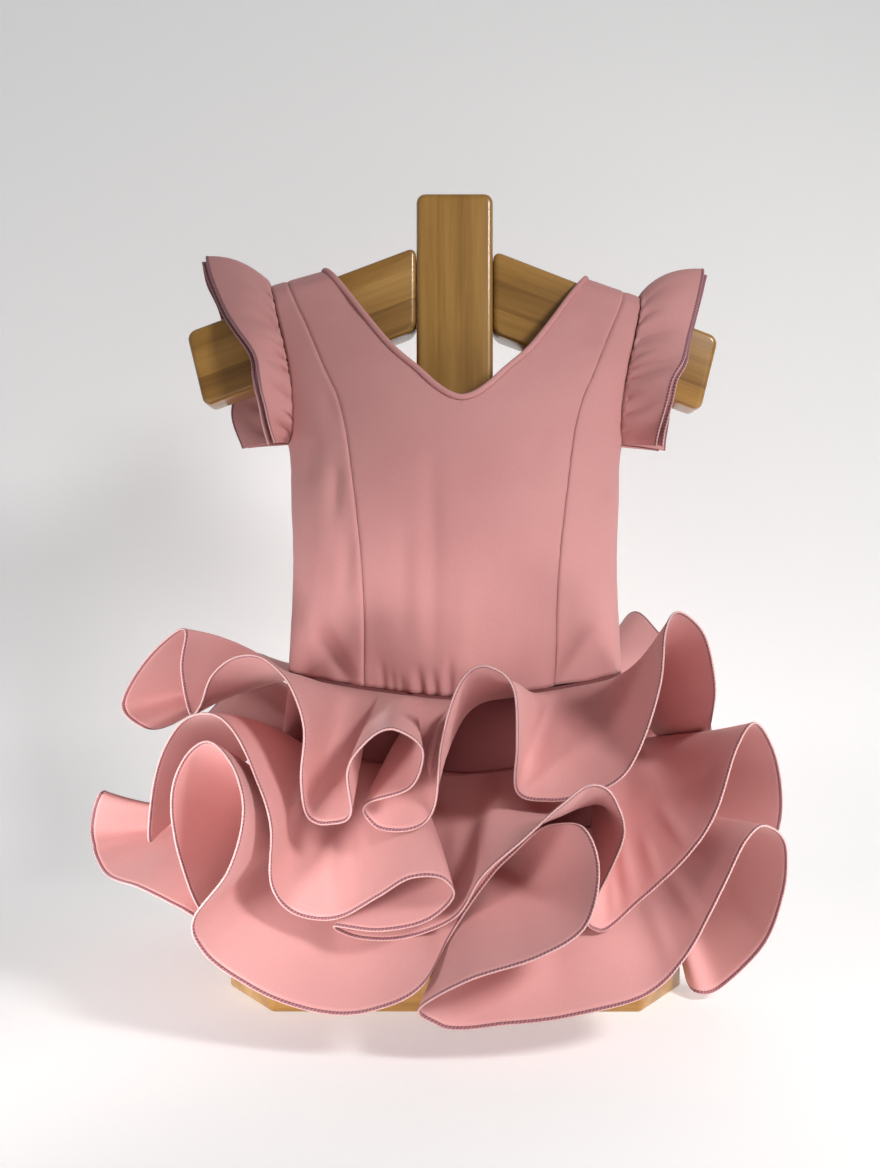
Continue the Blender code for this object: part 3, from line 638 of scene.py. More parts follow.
middle_low = straight_up(0.0, neck[0][1])
middle = np.concatenate([middle_low, neck])
side_low = straight_up(math.pi / 2, ARMHOLE_FOOT)
inner = seam_gap(princess, -1)
outer = seam_gap(princess, 1)
side = seam_gap(side_low, -1)
side = np.concatenate([side, np.stack([np.minimum(armhole[:, 0], side[0, 0]), armhole[:, 1]], axis=-1)])
centre_half = between(middle, inner, PANEL_COLUMNS)
side_half = between(outer, side, SIDE_COLUMNS)
halves = [laid(centre_half, True, way, (0, 1)) for way in (-1, 1)]
add_sheet("front_centre", halves, outward_of_body)
back_middle = np.concatenate([seam_gap(middle_low, 1), neck])
back_middle[:, 0] = np.maximum(back_middle[:, 0], SEAM_GAP / 60.0)
back_half = between(back_middle, inner, PANEL_COLUMNS)
for way, word in ((-1, "left"), (1, "right")):
    for name, angles, front in (("side_front_", side_half, True), ("side_back_", side_half, False),
                                ("centre_back_", back_half, False)):
        add_sheet(name + word, [laid(angles, front, way, (1, 1))], outward_of_body)
print("bodice panels:", len(FITTED))

# %% [markdown]
# The neck is finished with a narrow bias binding, folded over the edge like piping. Here a flat oval
# section is carried round the V at front and back. It is a grid rolled into a tube: one side of the
# grid runs round the section and the other along the neck.

# %% Tubes along a line
def tube_into(bm, line, across, square, wide, high, sides, closed, length):
    """A tube of oval section round a line, `across` and `square` its two directions at each point."""
    turns = 2 * math.pi * np.arange(sides + 1) / sides
    rows = [line + across * wide * math.cos(turn) + square * high * math.sin(turn) for turn in turns]
    points = np.array(rows)
    if closed:
        points = np.concatenate([points, points[:, :1]], axis=1)
    grid_into(bm, points, length, 1.0)
    bmesh.ops.remove_doubles(bm, verts=bm.verts, dist=0.00001)
    if not closed:
        bmesh.ops.holes_fill(bm, edges=[edge for edge in bm.edges if edge.is_boundary], sides=0)
    bmesh.ops.recalc_face_normals(bm, faces=bm.faces)


def unit(vectors):
    return vectors / np.maximum(np.linalg.norm(vectors, axis=-1, keepdims=True), 1e-9)


def line_length(line):
    return float(np.linalg.norm(np.diff(line, axis=0), axis=1).sum())


def lengths_along(line):
    """How far along a line each of its points lies."""
    return np.concatenate([[0.0], np.cumsum(np.linalg.norm(np.diff(line, axis=0), axis=1))])


def read_along(line, keys, at):
    """A line, or what goes with it, read at these lengths."""
    return np.stack([np.interp(at, keys, line[:, k]) for k in range(3)], axis=-1)


# %% Neck binding
BINDING_HALF = 1.9
BINDING_THICK = 1.3
BINDING_STEPS = 420
BINDING_SIDES = 14
front = np.concatenate([neck[::-1] * (-1, 1), neck[1:]])
back = np.concatenate([(neck[:-1] * (-1, 1) + (math.pi, 0))[::-1], neck[1:-1] - (math.pi, 0)])
rough_line = on_body(*np.concatenate([front, back]).T)
closed_line = np.concatenate([rough_line, rough_line[:1]])
keys = lengths_along(closed_line)
neck_edge = read_along(closed_line, keys, np.linspace(0.0, keys[-1], BINDING_STEPS + 1)[:-1])
for _ in range(6):
    neck_edge = (np.roll(neck_edge, 1, axis=0) + neck_edge * 2 + np.roll(neck_edge, -1, axis=0)) / 4
ahead = unit(np.roll(neck_edge, -1, axis=0) - np.roll(neck_edge, 1, axis=0))
toward = ((0.0, 0.0, 520.0) - neck_edge) * (1.0, 0.15, 1.0)
toward = unit(toward - ahead * (toward * ahead).sum(axis=1, keepdims=True))
square = np.cross(ahead, toward)
line = neck_edge + toward * (BINDING_HALF - 0.2) + (0, 0.35, 0) * np.sign(neck_edge[:, 1:2])
bm = bmesh.new()
tube_into(bm, line, toward, square, BINDING_HALF, BINDING_THICK, BINDING_SIDES, True, keys[-1] * MM)
binding = finish_mesh("neck_binding_cloth", bm, CREPE, ["neck_binding"])
print("neck binding:", round(keys[-1]), "mm round,", len(binding.data.polygons), "faces")

# %% [markdown]
# The underskirt is a plain tube that carries the flounces, from the waist seam to just over the base.
# Only slits of it show between the folds, so it stays smooth, with a few soft waves low down.

# %% Underskirt
UNDERSKIRT_HEM = 30.0
levels = np.linspace(0.0, 1.0, 25)[:, None]
turns = np.linspace(-math.pi, math.pi, 145)[None, :]
tops = waist(turns) - SEAM_GAP
heights = tops + (UNDERSKIRT_HEM - tops) * levels
waves = (np.sin(turns * 9 + 0.4) + 0.6 * np.sin(turns * 14)) * 0.8 * levels
points = on_body(turns, heights, waves)
points[:, -1] = points[:, 0]
# Its crepe is painted very dark, as painted shade for the slits that show between the folds.
add_sheet("underskirt", [points], outward_of_body, UNDER_PAINTED_SHADE_CREPE)

# %% [markdown]
# Three flounces make the skirt. Each is cut as a ring, much longer at the hem than at the seam, so the
# hem has to roll in deep flutes. The table holds one row for each turn of the hem: where it leaves the
# seam, where the hem lies in the front view, and how much of the cloth's width its straight way takes.
# The hem then sits on the line of sight, as far forward as the cloth can reach. Seen from the front it
# is the hem of the real dress, and seen from the side it is cloth of the right width.

# %% Hems of the flounces
FLOUNCES = {1: (2.5, 120.0), 2: (46.0, 130.0), 3: (88.0, 142.0)}
# turn round the seam in degrees, right and down in the front view, share of the width, sag if any
FRONT_FOLDS = {
    1: (
        (-104, 145, 728, 0.96), (-98, 122, 704, 0.98), (-92, 150, 655, 0.95, -5),
        (-87, 184, 629, 0.92, -9), (-82, 181, 668, 0.86, -8), (-77, 189, 712, 0.74, -3),
        (-71, 200, 706, 0.80), (-65, 211, 677, 0.90), (-58, 237, 657, 0.96), (-51, 268, 662, 0.97),
        (-46, 292, 690, 0.97), (-42, 304, 730, 0.97), (-38, 301, 780, 0.97), (-35, 306, 814, 0.97),
        (-31, 330, 824, 0.98), (-28, 351, 812, 0.99), (-26, 347, 775, 0.98), (-23, 364, 744, 0.98),
        (-19, 397, 730, 0.99), (-16, 423, 755, 0.95), (-14, 410, 788, 0.90), (-12, 368, 803, 0.87),
        (-9, 372, 824, 0.92), (-4, 411, 830, 0.95), (1, 434, 808, 0.87), (6, 441, 745, 0.83),
        (12, 458, 687, 0.90), (20, 490, 667, 0.98), (26, 515, 694, 0.95), (30, 517, 745, 0.88),
        (34, 516, 790, 0.86), (39, 548, 801, 0.92), (46, 608, 787, 0.98), (54, 641, 746, 0.97),
        (60, 661, 681, 0.97), (65, 666, 630, 0.98), (70, 679, 612, 0.99), (75, 704, 634, 0.97),
        (80, 715, 680, 0.92, 8), (86, 712, 718, 0.82, 17), (92, 706, 738, 0.62, 26),
    ),
    2: (
        (-93, 149, 841, 0.93), (-87, 151, 800, 0.91), (-80, 161, 756, 0.89), (-73, 182, 722, 0.90, -4),
        (-66, 210, 714, 0.92, -8), (-59, 233, 731, 0.93, -9), (-52, 254, 774, 0.93, -8),
        (-46, 271, 830, 0.93, -4), (-42, 271, 884, 0.93), (-38, 293, 913, 0.95), (-34, 335, 919, 0.96),
        (-30, 376, 898, 0.96, -2), (-25, 411, 878, 0.96, -5), (-20, 446, 881, 0.95, -7),
        (-17, 453, 898, 0.93, -5), (-14, 425, 922, 0.93), (-11, 378, 931, 0.95, 4),
        (-8, 334, 926, 0.97, 6), (-5, 350, 936, 0.96, 6), (0, 400, 939, 0.94, 3), (5, 452, 920, 0.89),
        (11, 482, 877, 0.90), (18, 522, 841, 0.92, 7), (25, 562, 805, 0.94, 17),
        (31, 592, 785, 0.94, 19), (37, 616, 801, 0.93, 12), (41, 624, 836, 0.92, 5),
        (44, 610, 872, 0.95), (47, 588, 915, 1.00), (51, 598, 931, 1.03), (59, 640, 901, 0.96),
        (66, 692, 851, 0.93), (72, 718, 808, 0.92), (77, 737, 748, 0.93), (82, 756, 723, 0.94),
        (87, 776, 757, 0.93), (92, 782, 808, 0.90, 7), (97, 772, 842, 0.86, 11),
    ),
    3: (
        (-104, 122, 806, 0.74, 6), (-99, 101, 792, 0.85, 9), (-94, 91, 833, 0.85, 6),
        (-89, 105, 873, 0.84), (-84, 140, 888, 0.80), (-79, 180, 908, 0.76), (-75, 203, 920, 0.72),
        (-71, 190, 890, 0.77), (-67, 175, 840, 0.84), (-62, 173, 785, 0.90), (-58, 190, 751, 0.92, -4),
        (-54, 214, 744, 0.93, -8), (-51, 235, 772, 0.92, -8), (-48, 243, 815, 0.90, -6),
        (-45, 228, 871, 0.90, -3), (-42, 193, 920, 0.92), (-39, 203, 952, 0.93), (-35, 250, 987, 0.93),
        (-29, 318, 1012, 0.93), (-23, 375, 1010, 0.92), (-18, 423, 985, 0.88), (-14, 449, 938, 0.63),
        (-10, 478, 894, 0.54), (-6.5, 514, 853, 0.56), (-3, 553, 825, 0.71), (-1, 584, 828, 0.86),
        (1, 599, 870, 0.88), (3, 586, 926, 0.90), (5, 540, 957, 0.92), (7, 470, 980, 0.93),
        (9, 422, 1006, 0.94), (12, 436, 1024, 0.96), (20, 512, 1024, 0.95), (32, 596, 1011, 0.94),
        (46, 655, 990, 0.93), (59, 693, 946, 0.92), (70, 724, 886, 0.91), (76, 748, 838, 0.92),
        (81, 767, 826, 0.93), (86, 787, 852, 0.92), (89, 783, 896, 0.91), (92, 760, 950, 0.94),
        (94, 724, 985, 0.96), (97, 696, 992, 0.97),
    ),
}
# turn round the seam in degrees, how far the hem stands from the middle, its height, sag if any
BACK_FOLDS = {
    1: (
        (104, 188, 160, 24), (113, 186, 196, 12), (122, 182, 222), (131, 184, 236), (140, 190, 204),
        (148, 168, 150), (158, 192, 188), (168, 203, 202), (178, 176, 148), (189, 190, 180),
        (200, 202, 198), (211, 174, 144), (222, 196, 190), (232, 203, 204), (243, 200, 176),
    ),
    2: (
        (108, 196, 126, 8), (118, 206, 170, 3), (128, 204, 158), (138, 180, 92), (150, 196, 118),
        (161, 205, 134), (172, 180, 86), (184, 192, 114), (196, 204, 130), (208, 180, 92),
        (220, 200, 174), (231, 208, 182), (243, 203, 164), (253, 196, 150),
    ),
    3: (
        (104, 166, 26), (112, 182, 32), (120, 205, 76), (130, 208, 70), (140, 190, 30), (150, 190, 50),
        (160, 206, 82), (170, 190, 38), (182, 188, 26), (193, 206, 78), (205, 190, 34), (216, 188, 40),
        (228, 208, 112), (239, 208, 66), (248, 226, 84),
    ),
}
FLOOR_CLEAR = 5.0
LIFT = {1: 0.22, 2: 0.12, 3: 0.12}


def front_point(seam, right, down, reach):
    """The hem's point on the front view's line of sight, as far forward as the cloth takes it."""
    sight = unit(np.array(from_view(right, down, 0.0)) - EYE)
    back = seam - EYE
    nearest = back.dot(sight)
    aside = back.dot(back) - nearest ** 2
    return EYE + sight * (nearest - math.sqrt(max(reach * reach - aside, 0.0)))


def seam_point(tier, turn, out=0.9):
    angle = np.radians(turn)
    return on_body(angle, waist(angle) - FLOUNCES[tier][0], out)


def hem_rows(tier):
    """One row for each turn of the hem: the turn, the hem's point and the sag."""
    width = FLOUNCES[tier][1]
    rows = []
    for turn, right, down, share, *sag in FRONT_FOLDS[tier]:
        rows.append((turn, *front_point(seam_point(tier, turn), right, down, share * width), sum(sag)))
    for turn, out, height, *sag in BACK_FOLDS[tier]:
        angle = math.radians(turn)
        rows.append((turn, out * math.sin(angle), -out * math.cos(angle), height, sum(sag)))
    return rows


def ring_spline(rows, at):
    """A smooth closed curve through rows keyed by turn."""
    rows = [list(row) for row in rows]
    lead = [[row[0] - 360.0] + row[1:] for row in rows[-4:]]
    tail = [[row[0] + 360.0] + row[1:] for row in rows[:4]]
    return spline(lead + rows + tail, at)


def even_turns(rows, first, last, count):
    """Turns that step evenly along the hem, so that tight rolls get their share of columns."""
    fine = np.linspace(first, last, 6000)
    line = ring_spline(rows, fine)[:, :3]
    step = np.linalg.norm(np.diff(line, axis=0), axis=1) + 0.25 * np.abs(np.diff(fine))
    length = np.concatenate([[0.0], np.cumsum(step)])
    return np.interp(np.linspace(0, length[-1], count + 1), length, fine)


def flounce_points(tier, turns, hem, high):
    """The flounce as rows from seam to hem: each column bends from level to hanging."""
    seam = seam_point(tier, turns)
    mark = hem[:, :3].copy()
    mark[:, 2] = np.maximum(mark[:, 2], FLOOR_CLEAR)
    bend = seam + (mark - seam) * (0.5, 0.5, 0.5 - LIFT[tier])
    bend[:, 2] -= 2 * hem[:, 3]
    t = np.linspace(0, 1, high + 1)[:, None, None]
    return seam * (1 - t) ** 2 + bend * 2 * t * (1 - t) + mark * t * t


for tier in FLOUNCES:
    round_hem = ring_spline(hem_rows(tier), np.linspace(-92, 268, 4000))[:, :3]
    print(f"flounce {tier}: hem {line_length(round_hem):.0f} mm round, {FLOUNCES[tier][1]:.0f} mm deep")

# %% [markdown]
# Soft creases go in one by one, each a row of a table: where along the hem and how far down the cloth
# it starts and ends, its half width and its depth. They are the pinches where a roll turns over and the
# short puckers that the hem's stitching draws.

# %% Flounces
SIDE_SEAM = 92.0
COLUMNS = 700
PAD = 4
ROWS = 34
# tier, turn and share down the cloth of one end, then of the other, half the width, depth
FLOUNCE_CREASES = (
    (1, 20, 0.05, 24, 0.85, 5.0, 1.6), (1, -16, 0.02, -21, 0.55, 4.0, 1.4),
    (1, -52, 0.05, -56, 0.5, 5.0, 1.2), (1, 1.5, 0.15, 0.5, 0.85, 7.0, 15.0),
    (1, 47, 0.1, 52, 0.7, 9.0, -1.5), (1, 84, 0.3, 86, 0.95, 7.0, 1.2),
    (1, -31, 0.2, -30, 0.9, 7.0, -1.2), (2, -36, 0.55, -34, 0.98, 4.0, 2.0),
    (2, -32, 0.6, -31, 0.96, 3.5, -1.2), (2, 57, 0.6, 58, 0.97, 4.0, 1.8),
    (2, 61, 0.7, 61.5, 0.98, 3.5, 1.6), (2, 65, 0.62, 66, 0.97, 4.0, 1.6),
    (2, 54, 0.75, 54.5, 0.98, 3.0, 1.3), (2, -64, 0.2, -66, 0.9, 7.0, -1.4),
    (2, 2, 0.2, 4, 0.8, 7.0, 1.2), (3, 52, 0.6, 53, 0.97, 5.0, 1.6), (3, 62, 0.55, 63, 0.97, 5.0, 1.5),
    (3, -11, 0.86, -6.5, 0.84, 6.0, 8.0), (3, 26, 0.5, 26, 0.95, 9.0, -1.5),
    (3, -29, 0.4, -29, 0.95, 10.0, -1.6), (3, -20, 0.5, -20, 0.95, 7.0, 1.2),
    (3, 91, 0.5, 91.5, 0.95, 6.0, 1.5), (1, 140, 0.2, 141, 0.9, 7.0, 1.4),
    (1, 205, 0.2, 207, 0.9, 7.0, 1.3), (2, 155, 0.3, 156, 0.95, 7.0, 1.5),
    (2, 200, 0.3, 201, 0.95, 7.0, 1.5), (3, 150, 0.3, 151, 0.95, 7.0, 1.5),
    (3, 216, 0.3, 218, 0.95, 7.0, 1.4),
)


def grid_normals(points):
    return unit(np.cross(np.gradient(points, axis=1), np.gradient(points, axis=0)))


def ring_normals(points):
    """Normals of a grid whose last column is its first."""
    padded = np.concatenate([points[:, -1 - PAD:-1], points, points[:, 1:1 + PAD]], axis=1)
    return grid_normals(padded)[:, PAD:-PAD]


def crease_flounce(tier, turns, points):
    """Lays the listed creases and a slow unevenness into a flounce that closes on itself."""
    square = ring_normals(points)
    inward = np.zeros(points.shape[:2])
    shares = np.linspace(0, 1, len(points))
    for which, turn, share, far_turn, far_share, half, depth in FLOUNCE_CREASES:
        if which != tier:
            continue
        ends = []
        for a, s in ((turn, share), (far_turn, far_share)):
            column = int(np.abs(turns - a).argmin())
            ends.append(points[int(np.abs(shares - s).argmin()), column])
        inward += press(points, ends, half, depth)
    round_it = 2 * np.pi * np.linspace(0, 1, points.shape[1])[None, :]
    fade = np.sin(np.pi * np.clip(shares, 0, 1))[:, None]
    uneven = np.sin(19 * round_it + 2.0 * np.sin(5 * round_it)) * np.cos(shares[:, None] * 5 + tier)
    inward += 0.5 * fade * uneven
    return points - square * inward[..., None]


FLOUNCE_GRIDS = {}
for tier in FLOUNCES:
    rows = hem_rows(tier)
    turns = even_turns(rows, -SIDE_SEAM, 360.0 - SIDE_SEAM, COLUMNS)
    points = crease_flounce(tier, turns, flounce_points(tier, turns, ring_spline(rows, turns), ROWS))
    points[:, -1] = points[:, 0]
    FLOUNCE_GRIDS[tier] = points
    name = f"flounce_{tier}"
    nodes = [name + "_front", name + "_back"]
    # The flounces' crepe is painted lighter as painted light, and darker at the seam as painted shade.
    add_sheet(name, [points], lambda centre: (0, 0, 1), FLOUNCE_PAINTED_CREPE, RUFFLE_THICK, 0.0, nodes)

# %% [markdown]
# Every hem is overlocked: the cut edge is rolled over and wrapped in thread. On the outer side it shows
# as a thin pale rim with a mauve line of stitches beside it, and from behind as a hairy little rope.
# It is a flat tube along the cloth's edge. Its UV map runs along the hem and round the tube, so the
# stitches slant round it and stay the same size on every flounce.

# %% Overlock thread
STITCH = 0.0021
RIM_PALE = (0.70, 0.41, 0.39)
THREAD_DARK = (0.20, 0.065, 0.085)
THREAD_LIGHT = (0.42, 0.185, 0.205)


def overlock(name):
    """Thread wrapped round a hem: pale at the very edge, mauve stitches on both faces."""
    new, shader, tree = soft_material(name, THREAD_LIGHT, 0.7, Sheen_Weight=0.3, Specular_IOR_Level=0.3)
    place = node(tree, "TexCoord", {}, "UV")
    along = node(tree, "SeparateXYZ", {"Vector": place}, "X")
    round_it = along.node.outputs["Y"]
    slanted = maths(tree, "MULTIPLY_ADD", round_it, 2.0, maths(tree, "MULTIPLY", along, 1.0 / STITCH))
    fuzz = noise(tree, place.node.outputs["Object"], 1400.0, 2.0, 0.8)
    height = maths(tree, "MULTIPLY_ADD", fuzz, 0.5, maths(tree, "PINGPONG", slanted, 0.5))
    threads = ramp(tree, height, (0.30, THREAD_DARK), (0.70, THREAD_LIGHT))
    rim = ramp(tree, maths(tree, "PINGPONG", round_it, 0.5), (0.085, WHITE), (0.115, BLACK))
    mixed = {"Factor": rim, "A": threads, "B": (*RIM_PALE, 1.0)}
    tree.links.new(node(tree, "Mix", mixed, "Result", data_type="RGBA"), shader.inputs["Base Color"])
    bumped(tree, shader, height, 0.8, 0.0006)
    return new


THREAD = overlock("Overlock thread")
print("overlock thread:", len(THREAD.node_tree.nodes), "nodes, a stitch each", STITCH * 1000, "mm")

# %% Hems
HEM_HALF = 1.25
HEM_THICK = 0.85
HEM_STEP = 1.1
HEM_IN = 0.7
HEM_SIDES = 10


def add_hem(name, edge, way, square):
    """A flat tube of thread along a cloth's edge. `way` points off the edge, in the cloth."""
    length = line_length(edge)
    steps = np.linspace(0.0, length, int(length / HEM_STEP) + 2)
    line, off, up = (read_along(part, lengths_along(edge), steps) for part in (edge, way, square))
    closed = math.dist(line[0], line[-1]) < 0.1
    if closed:
        line, off, up = line[:-1], off[:-1], up[:-1]
    bm = bmesh.new()
    line = line - off * HEM_IN
    tube_into(bm, line, unit(off), unit(up), HEM_HALF, HEM_THICK, HEM_SIDES, closed, length * MM)
    return finish_mesh(name, bm, THREAD, []), length


HEMS = {}
for tier, points in FLOUNCE_GRIDS.items():
    off = unit(points[-1] - points[-2])
    HEMS[tier] = add_hem(f"hem_{tier}", points[-1], off, ring_normals(points)[-1])
    print(f"hem {tier}: {HEMS[tier][1]:.0f} mm")

# %% [markdown]
# Each sleeve is two short ruffles, one over the other, gathered into the armhole and spread over the
# shoulder like a wing. A table follows the hem from the front of the underarm over the shoulder to
# the back. The cloth bends from the armhole to that hem, and gathers ripple it near the seam.

# %% Sleeves
# share of the way round, then the hem's place: half width at the left, at the right, depth, height
SLEEVE_FOLDS = (
    (0.00, 122, 131, -33, 352), (0.07, 127, 133, -38, 365), (0.13, 130, 136, -42, 380),
    (0.20, 132, 140, -43, 393), (0.27, 136, 147, -40, 405), (0.34, 147, 152, -32, 421),
    (0.41, 157, 158, -22, 439), (0.455, 165, 164, -12, 460), (0.50, 168, 168, 0, 474),
    (0.545, 166, 166, 12, 462), (0.62, 158, 158, 25, 445), (0.70, 152, 152, 36, 424),
    (0.78, 148, 148, 42, 404), (0.84, 148, 148, 44, 391), (0.90, 148, 148, 42, 378),
    (1.00, 140, 144, 34, 356),
)
SLEEVE_PUFF = 5.0
GATHERS = 10
SLEEVE_EDGE = 0.8
# how far each layer stands from the sleeve's own form at seam and hem, and how long it is cut
SLEEVE_LAYERS = {"upper": (0.3, 0.3, 1.0), "under": (-1.1, -3.4, 1.06)}
ARMHOLE_MIDDLE = np.array([155.0, 0.0, 405.0])
SLEEVE_COLUMNS = 300
SLEEVE_ROWS = 30
SLEEVE_THICK = 1.0


def armhole_line(along):
    """Angle and height of the armhole's edge: front of the underarm, over the shoulder, to the back."""
    steps = np.hypot(110 * np.diff(armhole[:, 0]), np.diff(armhole[:, 1]))
    keys = np.concatenate([[0.0], np.cumsum(steps)])
    keys /= keys[-1]
    reach = 0.06 + 0.94 * (1 - np.abs(2 * along - 1))
    angle = np.interp(reach, keys, armhole[:, 0])
    return np.where(along <= 0.5, angle, math.pi - angle), np.interp(reach, keys, armhole[:, 1])


def sleeve_form(along, share, way):
    """Rows of the sleeve's smooth form, drawn at +X for either side, with the gathers left out."""
    angle, z = armhole_line(along)
    edge = on_body(angle, z)
    square = on_body(angle, z, 1.0) - edge
    toward = ARMHOLE_MIDDLE - edge
    toward -= square * (toward * square).sum(axis=1, keepdims=True)
    start = edge + unit(toward) * SLEEVE_EDGE
    hem = spline(SLEEVE_FOLDS, along)[:, [0 if way < 0 else 1, 2, 3]]
    hem[:, 2] += LEAN * hem[:, 0]
    span = hem - start
    over = 1.2 * math.pi * (along - 0.5)
    full = np.sin(math.pi * along) ** 2
    puff = 2 * SLEEVE_PUFF * full[:, None] * np.stack([over * 0, np.sin(over), np.cos(over)], axis=-1)
    share_out = np.stack([0.62 - 0.2 * full, full * 0 + 0.5, 0.35 + 0.25 * full], axis=-1)
    bend = start + span * share_out + puff
    t = share[:, None, None]
    return start * (1 - t) ** 2 + bend * 2 * t * (1 - t) + (start + span) * t * t


def gathers(along, share, phase):
    """Height of the gathers: deep uneven ripples at the seam that open out towards the hem."""
    s, t = along[None, :], share[:, None]
    ends = np.clip(8 * np.minimum(s, 1 - s), 0.0, 1.0)
    once = 2 * math.pi * s
    broad = np.sin(GATHERS * once + phase) * 9.0 * t * np.clip(1 - t, 0, 1) ** 2
    uneven = 21 * once + 2 * math.pi * (0.35 * np.sin(3 * once + phase) + 0.2 * np.sin(7 * once))
    fine = (np.abs(np.sin(uneven / 2)) - 0.6) * 4.2 * np.clip(t * 14, 0, 1) * np.exp(-t * 4.2)
    tiny = np.sin(uneven * 1.9 + 1.0) * 0.45 * np.exp(-t * 9.0)
    wave = np.sin(4 * once + phase * 2) * 1.5 * t * t
    return (broad + fine + tiny + wave) * ends


SLEEVE_HEMS = {}
along = np.linspace(0.0, 1.0, SLEEVE_COLUMNS + 1)
for layer, (near, far, long) in SLEEVE_LAYERS.items():
    share = np.linspace(0.0, long, SLEEVE_ROWS + 1)
    for way, word in ((-1, "left"), (1, "right")):
        form = sleeve_form(along, share, way)
        square = unit(np.cross(np.gradient(form, axis=0), np.gradient(form, axis=1)))
        square *= np.sign(square[SLEEVE_ROWS // 2, SLEEVE_COLUMNS // 2, 2])
        lift = near + (far - near) * share[:, None] + gathers(along, share, 0.8 if way > 0 else 0.0)
        points = form + square * lift[..., None]
        turned = points * (way, 1, 1)
        turned[..., 2] += LEAN * (turned[..., 0] - points[..., 0]) * leaning(points[..., 2])
        turned[..., 0] += SWING * (turned[..., 1] - way * points[..., 1])
        name = f"sleeve_{layer}_{word}"
        add_sheet(name, [turned], lambda centre: (0, centre.y * 3, 1), CREPE, SLEEVE_THICK, 0.0)
        off = unit(turned[-1] - turned[-2])
        SLEEVE_HEMS[layer, word] = add_hem("hem_" + name, turned[-1], off, grid_normals(turned)[-1])

# %% [markdown]
# The stand is glued up from strips of honey-coloured pine and varnished to a gloss. Every strip has its
# own tone, and a fine grain runs along it. The shader finds the strip from the position across the
# board, gives it a tone by white noise, and draws the grain with noise stretched along the board. A
# clear coat on top makes the gloss.

# %% Laminated wood
WOOD_DARK = (0.225, 0.103, 0.019)
WOOD_MID = (0.395, 0.200, 0.042)
WOOD_LIGHT = (0.540, 0.305, 0.085)


def wood(name, turn, shift, strip, seed):
    """Varnished strips that run along the board's own length. `turn` brings that length onto Z."""
    new, shader, tree = soft_material(name, WOOD_MID, 0.36, Coat_Weight=0.45, Coat_Roughness=0.14)
    place = node(tree, "TexCoord", {}, "Object")
    lay = node(tree, "Mapping", {"Vector": place, "Rotation": turn, "Location": shift})
    across = node(tree, "SeparateXYZ", {"Vector": lay}, "X")
    which = maths(tree, "FLOOR", maths(tree, "DIVIDE", across, strip))
    pair = node(tree, "CombineXYZ", {"X": which, "Y": seed})
    tone = node(tree, "TexWhiteNoise", {"Vector": pair}, "Value", noise_dimensions="2D")
    stretch = node(tree, "Mapping", {"Vector": lay, "Scale": (1.0, 1.0, 0.045)})
    grain = noise(tree, stretch, 420.0, 4.0, 0.6)
    bands = {"Vector": stretch, "Scale": 26.0, "Distortion": 3.0, "Detail": 2.0}
    rings = node(tree, "TexWave", bands, "Fac", wave_type="BANDS", bands_direction="DIAGONAL")
    blend = maths(tree, "MULTIPLY_ADD", tone, 0.40, maths(tree, "MULTIPLY", grain, 0.42))
    more = maths(tree, "MULTIPLY_ADD", rings, 0.16, blend)
    colour = ramp(tree, more, (0.18, WOOD_DARK), (0.48, WOOD_MID), (0.82, WOOD_LIGHT))
    tree.links.new(colour, shader.inputs["Base Color"])
    bumped(tree, shader, grain, 0.12, 0.0002)
    return new


# %% Stand
POST_WIDTH = 51.0
POST_DEPTH = 32.0
POST_TOP = 518.0
BASE_WIDTH = 287.0
BASE_DEPTH = 190.0
BASE_HEIGHT = 22.0
BASE_CORNER = (32.0, 48.0)
ARM_DEPTH = 30.0
GAP = 0.3
ARM_TOP = {-1: (483.0, -179.0, 425.5), 1: (480.5, 176.0, 422.5)}
ARM_BOTTOM = {-1: (427.0, -167.0, 376.0), 1: (425.0, 164.0, 373.0)}
CORNER_ROUND = 6.0
EDGE_ROUND = {"post": 4.0, "arm": 3.5, "base": 3.0}


def add_board(solid, corners, depth, look, round_corners, round_edges, upright):
    """A board cut to an outline, with rounded corners and then rounded edges."""
    bm = bmesh.new()
    if upright:
        outline = [bm.verts.new(Vector((x, -depth / 2, z)) * MM) for x, z in corners]
    else:
        outline = [bm.verts.new(Vector((x, y, 0)) * MM) for x, y in corners]
    face = bm.faces.new(outline)
    rounded = {"profile": 0.5, "material": -1}
    if round_corners:
        offset = round_corners * MM
        bmesh.ops.bevel(bm, geom=outline, offset=offset, segments=6, affect="VERTICES", **rounded)
        face = bm.faces[:][0]
    move = (0, depth * MM, 0) if upright else (0, 0, depth * MM)
    pull(bm, bmesh.ops.extrude_face_region(bm, geom=[face]), move)
    bmesh.ops.recalc_face_normals(bm, faces=bm.faces)
    sharp = [edge for edge in bm.edges if edge.calc_face_angle(0.0) > math.radians(40)]
    bmesh.ops.bevel(bm, geom=sharp, offset=round_edges * MM, segments=5, affect="EDGES", **rounded)
    new = finish_mesh(solid + "_wood", bm, look, [solid])
    new.data.set_sharp_from_angle(angle=math.radians(35))
    print(f"{solid}: {len(new.data.polygons)} faces")


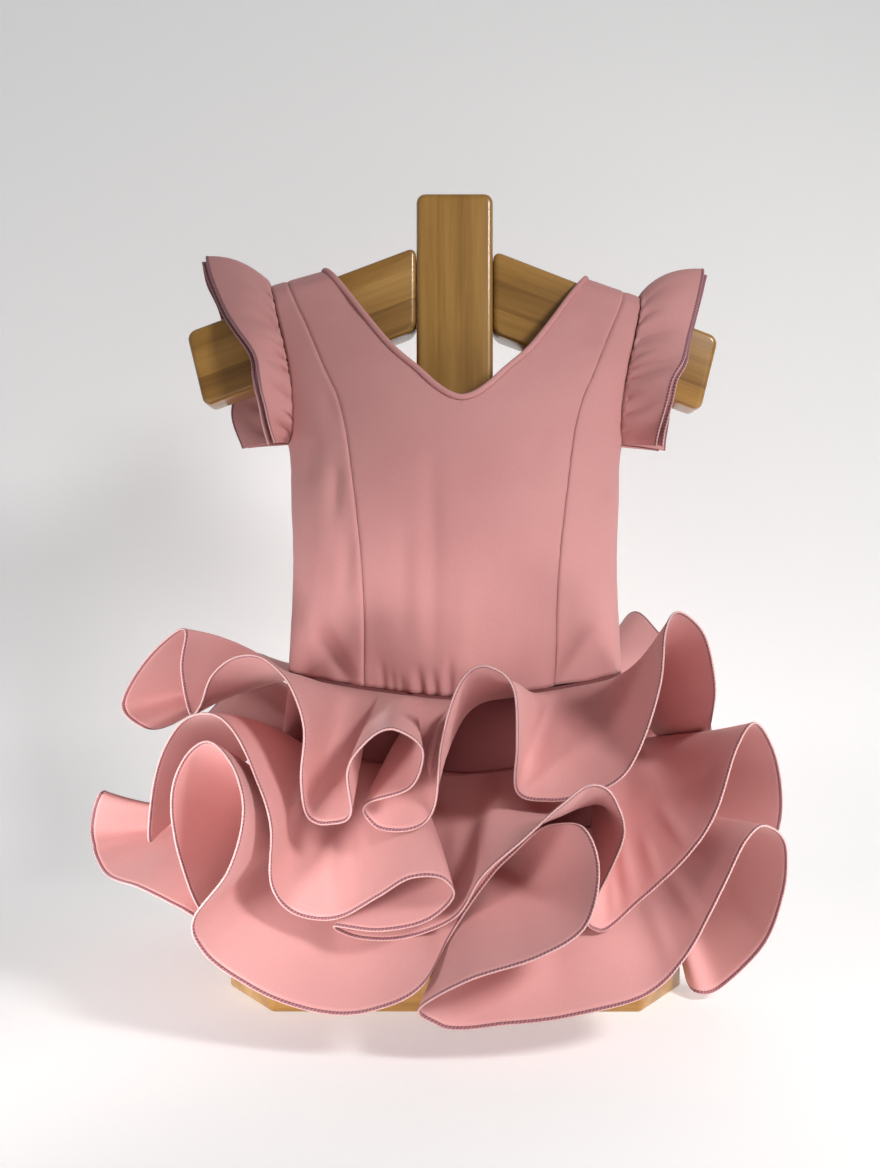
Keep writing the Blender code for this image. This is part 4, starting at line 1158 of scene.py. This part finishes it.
half = POST_WIDTH / 2
low = BASE_HEIGHT + GAP
corners = [(-half, low), (half, low), (half, POST_TOP), (-half, POST_TOP)]
post_wood = wood("Post wood", (0.0, 0.0, 0.0), (0.0118, 0.0, 0.0), 0.0206, 3.0)
add_board("stand_post", corners, POST_DEPTH, post_wood, CORNER_ROUND, EDGE_ROUND["post"], True)
for way, word in ((-1, "left"), (1, "right")):
    near = way * (half + GAP)
    top, far_top, far_top_z = ARM_TOP[way]
    bottom, far_bottom, far_bottom_z = ARM_BOTTOM[way]
    slope = math.atan2(far_top_z - top, far_top - near)
    turn = (0.0, slope + math.pi / 2, 0.0)
    arm_wood = wood("Arm wood " + word, turn, (0.004, 0.0, 0.0), 0.0185, 5.0 + way)
    corners = [(near, bottom), (near, top), (far_top, far_top_z), (far_bottom, far_bottom_z)]
    add_board("stand_arm_" + word, corners, ARM_DEPTH, arm_wood, CORNER_ROUND, EDGE_ROUND["arm"], True)
half, deep = BASE_WIDTH / 2, BASE_DEPTH / 2
cut_x, cut_y = BASE_CORNER
right_side = [(half - cut_x, -deep), (half, -deep + cut_y), (half, deep - cut_y), (half - cut_x, deep)]
outline = right_side + [(-x, y) for x, y in right_side[::-1]]
base_wood = wood("Base wood", (0.0, math.pi / 2, math.pi / 2), (0.0, 0.0, 0.0), 0.024, 9.0)
add_board("stand_base", outline, BASE_HEIGHT, base_wood, 0.0, EDGE_ROUND["base"], False)

# %% [markdown]
# For every sheet, what it was cut from is printed. A panel gives its widest row, its longest column and
# its own area. A flounce is cut as part of a ring, so its flat area lies between its short seam and its
# long hem. A sleeve's hem is a little longer than its line, for its small waves.

# %% Cuts of the cloth
SLEEVE_CUT = 0.062
SLEEVE_WAVES = 1.05

for name, (piece, area, flat) in FITTED.items():
    if name.startswith("flounce"):
        tier = int(name[-1])
        hem, length = HEMS[tier]
        flat = (length * MM, FLOUNCES[tier][1] * MM)
        area = (flat[0] + line_length(FLOUNCE_GRIDS[tier][0]) * MM) / 2 * flat[1]
    elif name.startswith("sleeve"):
        _, layer, word = name.split("_")
        hem, length = SLEEVE_HEMS[layer, word]
        flat = (length * MM * SLEEVE_WAVES, SLEEVE_CUT)
        area = area * 1.1
    area = min(area, flat[0] * flat[1])
    print(f"{name}: cut {flat[0]:.3f} x {flat[1]:.3f} m, {area * 1e4:.0f} cm2")
